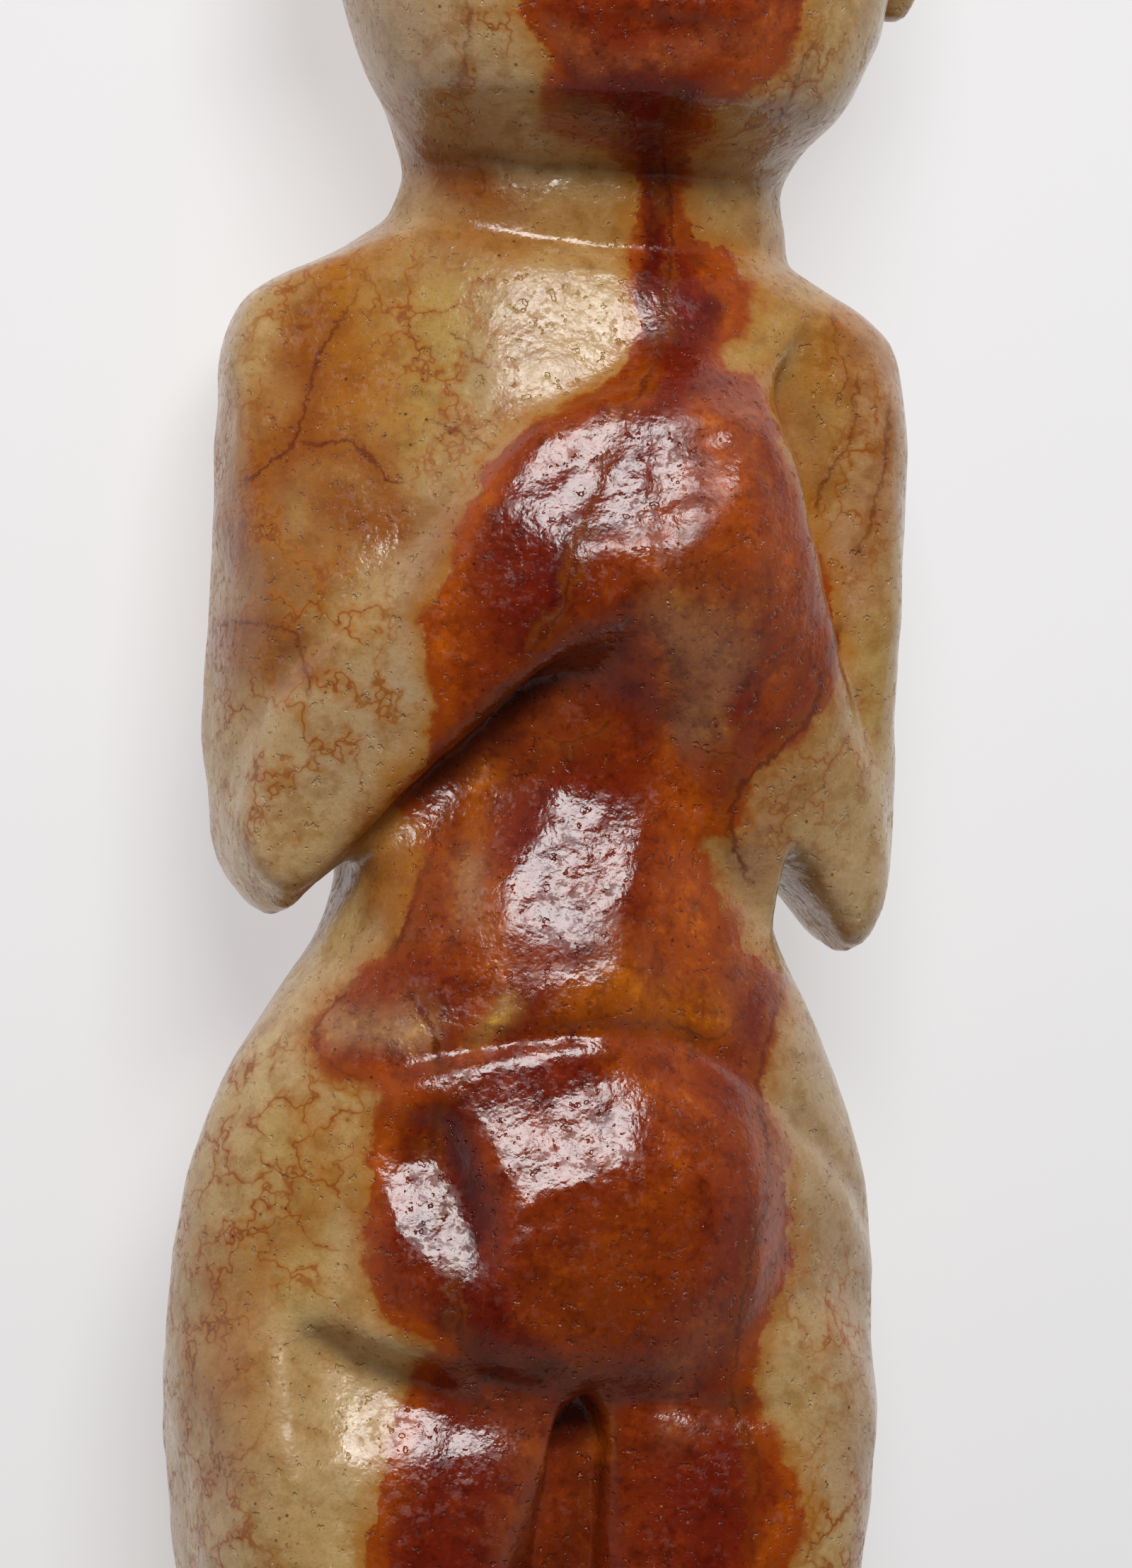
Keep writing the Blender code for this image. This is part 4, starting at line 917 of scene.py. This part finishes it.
def add_attribute(mesh, name, kind, values):
    attribute = mesh.attributes.new(name, kind, "POINT")
    key = {"FLOAT": "value", "FLOAT_VECTOR": "vector", "FLOAT_COLOR": "color"}[kind]
    attribute.data.foreach_set(key, np.ascontiguousarray(values, np.float32).ravel())


def wander(x, y, z, seed):
    """Shift of the painted strokes in pixels, which frays their edges."""
    return 14 * waves(x, y, z, 7, seed) + 7 * waves(x, y, z, 2.6, seed + 1)


def colour_attributes(mesh, vertices, facing):
    """Where the stain, its tones (painted shade, light and sheen among them) and the dark veins lie, from
    the front; noise carries on round the back.
    """
    x, y, z = vertices.T
    across, down = chart(x, y, z)
    front = np.clip(3 * facing + 0.35, 0, 1)
    places = across + wander(x, y, z, 11), down + wander(x, y, z, 13)
    back = np.clip(0.5 + 0.45 * waves(x, y, z, 16, 21), 0, 1)
    for name, tones, base, other in (("pale_tone", PALE_TONES, PALE, TAN),
                                     ("stain_tone", STAIN_TONES, RED, HONEY)):
        behind = np.outer(1 - back, body_colour(base)) + np.outer(back, body_colour(other))
        tone = paint(*places, base, tones) * front[:, None] + behind * (1 - front)[:, None]
        add_attribute(mesh, name, "FLOAT_COLOR", np.hstack([tone, np.ones((len(tone), 1))]))
    away = from_line(across, down, STAIN_OUTLINE + STAIN_OUTLINE[:1])[0]
    stain = away * PIXEL * np.where(inside(across, down, STAIN_OUTLINE), 1, -1)
    patches = 2.4 * (waves(x, y, z, 15, 22) - 1.0)
    stain = np.clip(stain, -4, 4) * front + np.clip(patches, -4, 4) * (1 - front)
    add_attribute(mesh, "stain", "FLOAT", stain)
    cracked = spread(*places, CRACKED) * front + np.clip(0.5 * waves(x, y, z, 13, 24), 0, 1) * (1 - front)
    add_attribute(mesh, "cracks", "FLOAT", cracked)
    add_attribute(mesh, "dull", "FLOAT", spread(*places, DULL) * front)
    for i, veins in enumerate(VEINS):
        add_attribute(mesh, f"vein_{i}", "FLOAT_VECTOR", vein_field(across, down, front, veins))


class Nodes:
    """Short ways to add and join shader nodes."""

    def __init__(self, owner):
        owner.use_nodes = True
        self.tree = owner.node_tree

    def add(self, kind, **settings):
        node = self.tree.nodes.new(kind)
        for name, value in settings.items():
            setattr(node, name, value)
        return node

    def link(self, value, socket):
        if isinstance(value, bpy.types.NodeSocket):
            self.tree.links.new(value, socket)
        else:
            socket.default_value = value

    def math(self, operation, *values):
        node = self.add("ShaderNodeMath", operation=operation)
        for socket, value in zip(node.inputs, values):
            self.link(value, socket)
        return node.outputs[0]

    def times(self, a, b):
        return self.math("MULTIPLY", a, b)

    def noise(self, at, scale, detail, roughness, shift=0, output="Fac"):
        """Noise between 0 and 1; the scale counts per millimetre."""
        node = self.add("ShaderNodeTexNoise")
        if shift:
            at = self.vector("ADD", at, (shift, 0.7 * shift, -0.4 * shift))
        for name, value in (("Vector", at), ("Scale", scale), ("Detail", detail), ("Roughness", roughness)):
            self.link(value, node.inputs[name])
        return node.outputs[output]

    def cells(self, at, scale, feature="F1"):
        """Distance to the nearest of many scattered points, or to the edge between their cells."""
        node = self.add("ShaderNodeTexVoronoi", feature=feature)
        self.link(at, node.inputs["Vector"])
        self.link(scale, node.inputs["Scale"])
        return node.outputs["Distance"]

    def parts(self, vector):
        node = self.add("ShaderNodeSeparateXYZ")
        self.link(vector, node.inputs[0])
        return node.outputs

    def vector(self, operation, a, b):
        node = self.add("ShaderNodeVectorMath", operation=operation)
        self.link(a, node.inputs[0])
        self.link(b, node.inputs[1])
        return node.outputs[0]

    def ramp(self, value, low, high, start=0.0, end=1.0):
        """Smooth change from start to end as the value goes from low to high."""
        node = self.add("ShaderNodeMapRange", interpolation_type="SMOOTHSTEP")
        for socket, v in zip(node.inputs, (value, low, high, start, end)):
            self.link(v, socket)
        return node.outputs[0]

    def mix(self, share, a, b, blend="MIX"):
        node = self.add("ShaderNodeMix", data_type="RGBA", blend_type=blend)
        self.link(share, node.inputs["Factor"])
        for value, socket in ((a, node.inputs["A"]), (b, node.inputs["B"])):
            self.link((*value, 1) if isinstance(value, tuple) else value, socket)
        return node.outputs["Result"]

    def clouded(self, colour, *rows):
        """A colour times other factors in clouds: the noise, where it starts and is full, the factors."""
        for cloud, start, full, factors in rows:
            colour = self.mix(self.ramp(cloud, start, full), colour, factors, "MULTIPLY")
        return colour

    def attribute(self, name, output="Fac"):
        return self.add("ShaderNodeAttribute", attribute_name=name).outputs[output]


def tint(seen):
    return tuple(body_colour(seen))


def new_material(name):
    material = bpy.data.materials.new(name)
    n = Nodes(material)
    return material, n, n.tree.nodes["Principled BSDF"].inputs


def pale_stone(n, at, broad, medium, fine, grain, patch):
    """Cloudy pale stone, crossed by a network of brown cracks in ochre clouds; also the cracks' mask."""
    pale = n.clouded(n.attribute("pale_tone", "Color"),
                     (medium, 0.44, 0.68, (0.80, 0.70, 0.55)), (broad, 0.52, 0.35, (1.05, 1.10, 1.12)),
                     (fine, 0.52, 0.32, (1.06, 1.09, 1.16)), (grain, 0.52, 0.80, (0.78, 0.66, 0.50)))
    warp = n.vector("SUBTRACT", n.noise(at, 0.9, 2, 0.65, output="Color"), (0.5, 0.5, 0.5))
    warp = n.vector("MULTIPLY", warp, (2.6, 2.6, 2.6))
    to_edge = n.cells(n.vector("ADD", at, warp), 0.42, "DISTANCE_TO_EDGE")
    network = n.times(n.attribute("cracks"), n.ramp(patch, 0.32, 0.52))
    pale = n.mix(n.times(n.ramp(to_edge, 0.0, 0.20, 0.8, 0), network), pale, tint(OCHRE))
    crack = n.times(n.ramp(to_edge, 0.008, 0.045, 1, 0), network)
    return n.mix(crack, pale, tint(BROWN)), crack


def stained_stone(n, at, medium, fine, grain):
    """Red stone in clouds of other reds, browns and golds."""
    return n.clouded(n.attribute("stain_tone", "Color"),
                     (medium, 0.46, 0.70, (0.66, 0.56, 0.60)),
                     (n.noise(at, 0.8, 3, 0.62, 23), 0.50, 0.70, (1.30, 1.52, 1.02)),
                     (n.noise(at, 1.9, 2, 0.66, 29), 0.56, 0.72, (1.25, 1.40, 1.1)),
                     (fine, 0.46, 0.28, (0.68, 0.62, 0.70)), (grain, 0.56, 0.80, (1.25, 1.45, 1.2)))


def frayed(n, at, broad, patch, pale, red):
    """Both stones joined where the stain's edge wanders and frays, through orange into ochre."""
    wander = n.math("MULTIPLY_ADD", n.noise(at, 0.7, 4, 0.68, 31), 1.7, -0.85)
    edge = n.math("ADD", n.attribute("stain"), wander)
    soft = n.ramp(broad, 0.35, 0.65, 0.10, 0.55)
    fringe = n.times(n.ramp(edge, 0.2, 0.9, 0.45, 0), n.ramp(patch, 0.36, 0.58, 1, 0.15))
    red = n.mix(fringe, red, tint(ORANGE))
    colour = n.mix(n.ramp(edge, -1.3, -0.1, 0, 0.75), pale, tint(OCHRE))
    colour = n.mix(n.ramp(edge, n.times(soft, -1.4), 0.0), colour, tint(RUST))
    return n.mix(n.ramp(edge, n.times(soft, -0.5), soft), colour, red)


def veined(n, at, medium, patch, colour):
    """Dark threads in brown halos."""
    shaken = n.math("MULTIPLY_ADD", n.noise(at, 1.5, 3, 0.7, 41), 0.9, -0.45)
    halo_width = n.ramp(medium, 0.35, 0.65, 0.25, 1.1)
    crest = n.ramp(patch, 0.3, 0.6, 0.45, 1.0)
    for i in range(len(VEINS)):
        away, strength, half_width = n.parts(n.attribute(f"vein_{i}", "Vector"))
        away = n.math("ABSOLUTE", n.math("ADD", away, shaken))
        strength = n.times(strength, crest)
        colour = n.mix(n.times(n.ramp(away, 0.0, halo_width, 0.8, 0), strength), colour, tint(BROWN))
        reach = n.times(half_width, n.ramp(medium, 0.3, 0.7, 0.8, 2.2))
        line = n.ramp(n.math("DIVIDE", away, reach), 0.1, 1.0, 1, 0)
        colour = n.mix(n.times(line, strength), colour, tint(VEIN))
    return colour


def specked(n, at, broad, patch, colour):
    """Dark specks and pale dust."""
    speck = n.times(n.ramp(n.cells(at, 1.6), 0.06, 0.16, 1, 0), n.ramp(broad, 0.52, 0.62, 0, 0.8))
    dust = n.cells(n.vector("ADD", at, (5.3, 2.1, 7.7)), 1.3)
    mote = n.times(n.ramp(dust, 0.03, 0.08, 1, 0), n.ramp(patch, 0.40, 0.48, 0.55, 0))
    return n.mix(mote, n.mix(speck, colour, tint(DARK)), tint(BRIGHT))


def stone():
    """Pale nephrite with a dark iron stain, veins and fine cracks, polished unevenly."""
    material, n, shader = new_material("jade_stone")
    at = n.vector("MULTIPLY", n.add("ShaderNodeTexCoord").outputs["Object"], (1 / MM, 1 / MM, 1 / MM))
    broad = n.noise(at, 0.35, 3, 0.55)
    medium = n.noise(at, 0.9, 3, 0.6, 3)
    fine = n.noise(at, 3.2, 3, 0.6, 7)
    grain = n.noise(at, 9, 2, 0.6, 11)
    patch = n.noise(at, 0.5, 2, 0.6, 53)
    pale, crack = pale_stone(n, at, broad, medium, fine, grain, patch)
    colour = frayed(n, at, broad, patch, pale, stained_stone(n, at, medium, fine, grain))
    colour = specked(n, at, broad, patch, veined(n, at, medium, patch, colour))
    n.link(colour, shader["Base Color"])

    worn = n.times(n.ramp(n.noise(at, 2.2, 2, 0.7, 71), 0.50, 0.62), n.ramp(patch, 0.46, 0.58, 0, 0.3))
    rough = n.math("ADD", n.ramp(fine, 0.35, 0.7, 0.12, 0.24), worn)
    for mask, more in ((crack, 0.2), (n.attribute("dull"), 0.26)):
        rough = n.math("MULTIPLY_ADD", mask, more, rough)
    n.link(rough, shader["Roughness"])

    # Fine relief in mm: grain, soft dimples and pits
    dimples = n.noise(at, 1.9, 2, 0.55, 67)
    pits = n.ramp(n.noise(at, 2.3, 2, 0.6, 79), 0.63, 0.71)
    height = 0.0
    for relief, rise in ((grain, 0.006), (fine, 0.014), (dimples, 0.05), (pits, -0.06)):
        height = n.math("MULTIPLY_ADD", relief, rise, height)
    bump = n.add("ShaderNodeBump")
    n.link(height, bump.inputs["Height"])
    bump.inputs["Distance"].default_value = MM
    bump.inputs["Strength"].default_value = 1.0
    n.link(bump.outputs[0], shader["Normal"])

    shader["IOR"].default_value = 1.52
    shader["Subsurface Weight"].default_value = 0.12
    shader["Subsurface Radius"].default_value = (1.0, 0.55, 0.30)
    shader["Subsurface Scale"].default_value = 1.2 * MM
    return material


def figure_piece():
    vertices, quads = skin(*sample(FINE_STEP))
    vertices = smoothed(vertices, quads)
    facing = normals(vertices, quads) @ TOWARDS
    low, high = np.array(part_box("jade_figure")) / MM
    mesh = bpy.data.meshes.new("jade_figure_stone")
    mesh.from_pydata((np.clip(vertices, low, high) * MM).tolist(), [], quads.tolist())
    mesh.shade_smooth()
    colour_attributes(mesh, vertices, facing)
    mesh.materials.append(stone())
    piece = bpy.data.objects.new("jade_figure_stone", mesh)
    bpy.context.scene.collection.objects.link(piece)
    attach(piece, "root")
    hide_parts("jade_figure")
    return piece


def floor():
    bpy.ops.mesh.primitive_plane_add(size=FLOOR_SIZE)
    plate = bpy.context.object
    plate.name = "floor"
    material, n, shader = new_material("floor")
    shader["Base Color"].default_value = (0.34, 0.34, 0.34, 1)
    shader["Roughness"].default_value = 0.9
    shader["Specular IOR Level"].default_value = 0.1
    along = n.parts(n.add("ShaderNodeTexCoord").outputs["Object"])[1]
    n.link(n.ramp(along, -0.045, 0.03, *FLOOR_GLOW), shader["Emission Strength"])
    shader["Emission Color"].default_value = (1.0, 0.99, 1.0, 1)
    plate.data.materials.append(material)


def key_light():
    data = bpy.data.lights.new("key", "AREA")
    data.shape = "RECTANGLE"
    data.size, data.size_y = KEY_SIZE
    data.energy = KEY_POWER
    key = bpy.data.objects.new("key", data)
    key.location = KEY_PLACE
    key.rotation_euler = (Vector(KEY_AIM) - Vector(KEY_PLACE)).to_track_quat("-Z", "Y").to_euler()
    bpy.context.scene.collection.objects.link(key)


def camera():
    data = bpy.data.cameras.new("camera")
    data.sensor_fit = "VERTICAL"
    data.sensor_height = SENSOR
    data.lens = SENSOR * DISTANCE / (FRAME[1] * PIXEL)
    data.clip_start, data.clip_end = 0.01, 10
    camera_object = bpy.data.objects.new("camera", data)
    turn = Matrix((RIGHT, UP, TOWARDS)).transposed().to_4x4()
    camera_object.matrix_world = Matrix.Translation(Vector((AIM + TOWARDS * DISTANCE) * MM)) @ turn
    bpy.context.scene.collection.objects.link(camera_object)
    bpy.context.scene.camera = camera_object


def surroundings():
    world = bpy.data.worlds.new("world")
    bpy.context.scene.world = world
    n = Nodes(world)
    back = n.tree.nodes["Background"].inputs
    back["Color"].default_value = (1.0, 0.97, 0.95, 1)
    upward = n.parts(n.add("ShaderNodeTexCoord").outputs["Generated"])[2]
    n.link(n.ramp(upward, 0.35, 0.85, *SKY_GLOW), back["Strength"])
    bpy.context.scene.view_settings.view_transform = "Standard"


figure_piece()
floor()
key_light()
camera()
surroundings()
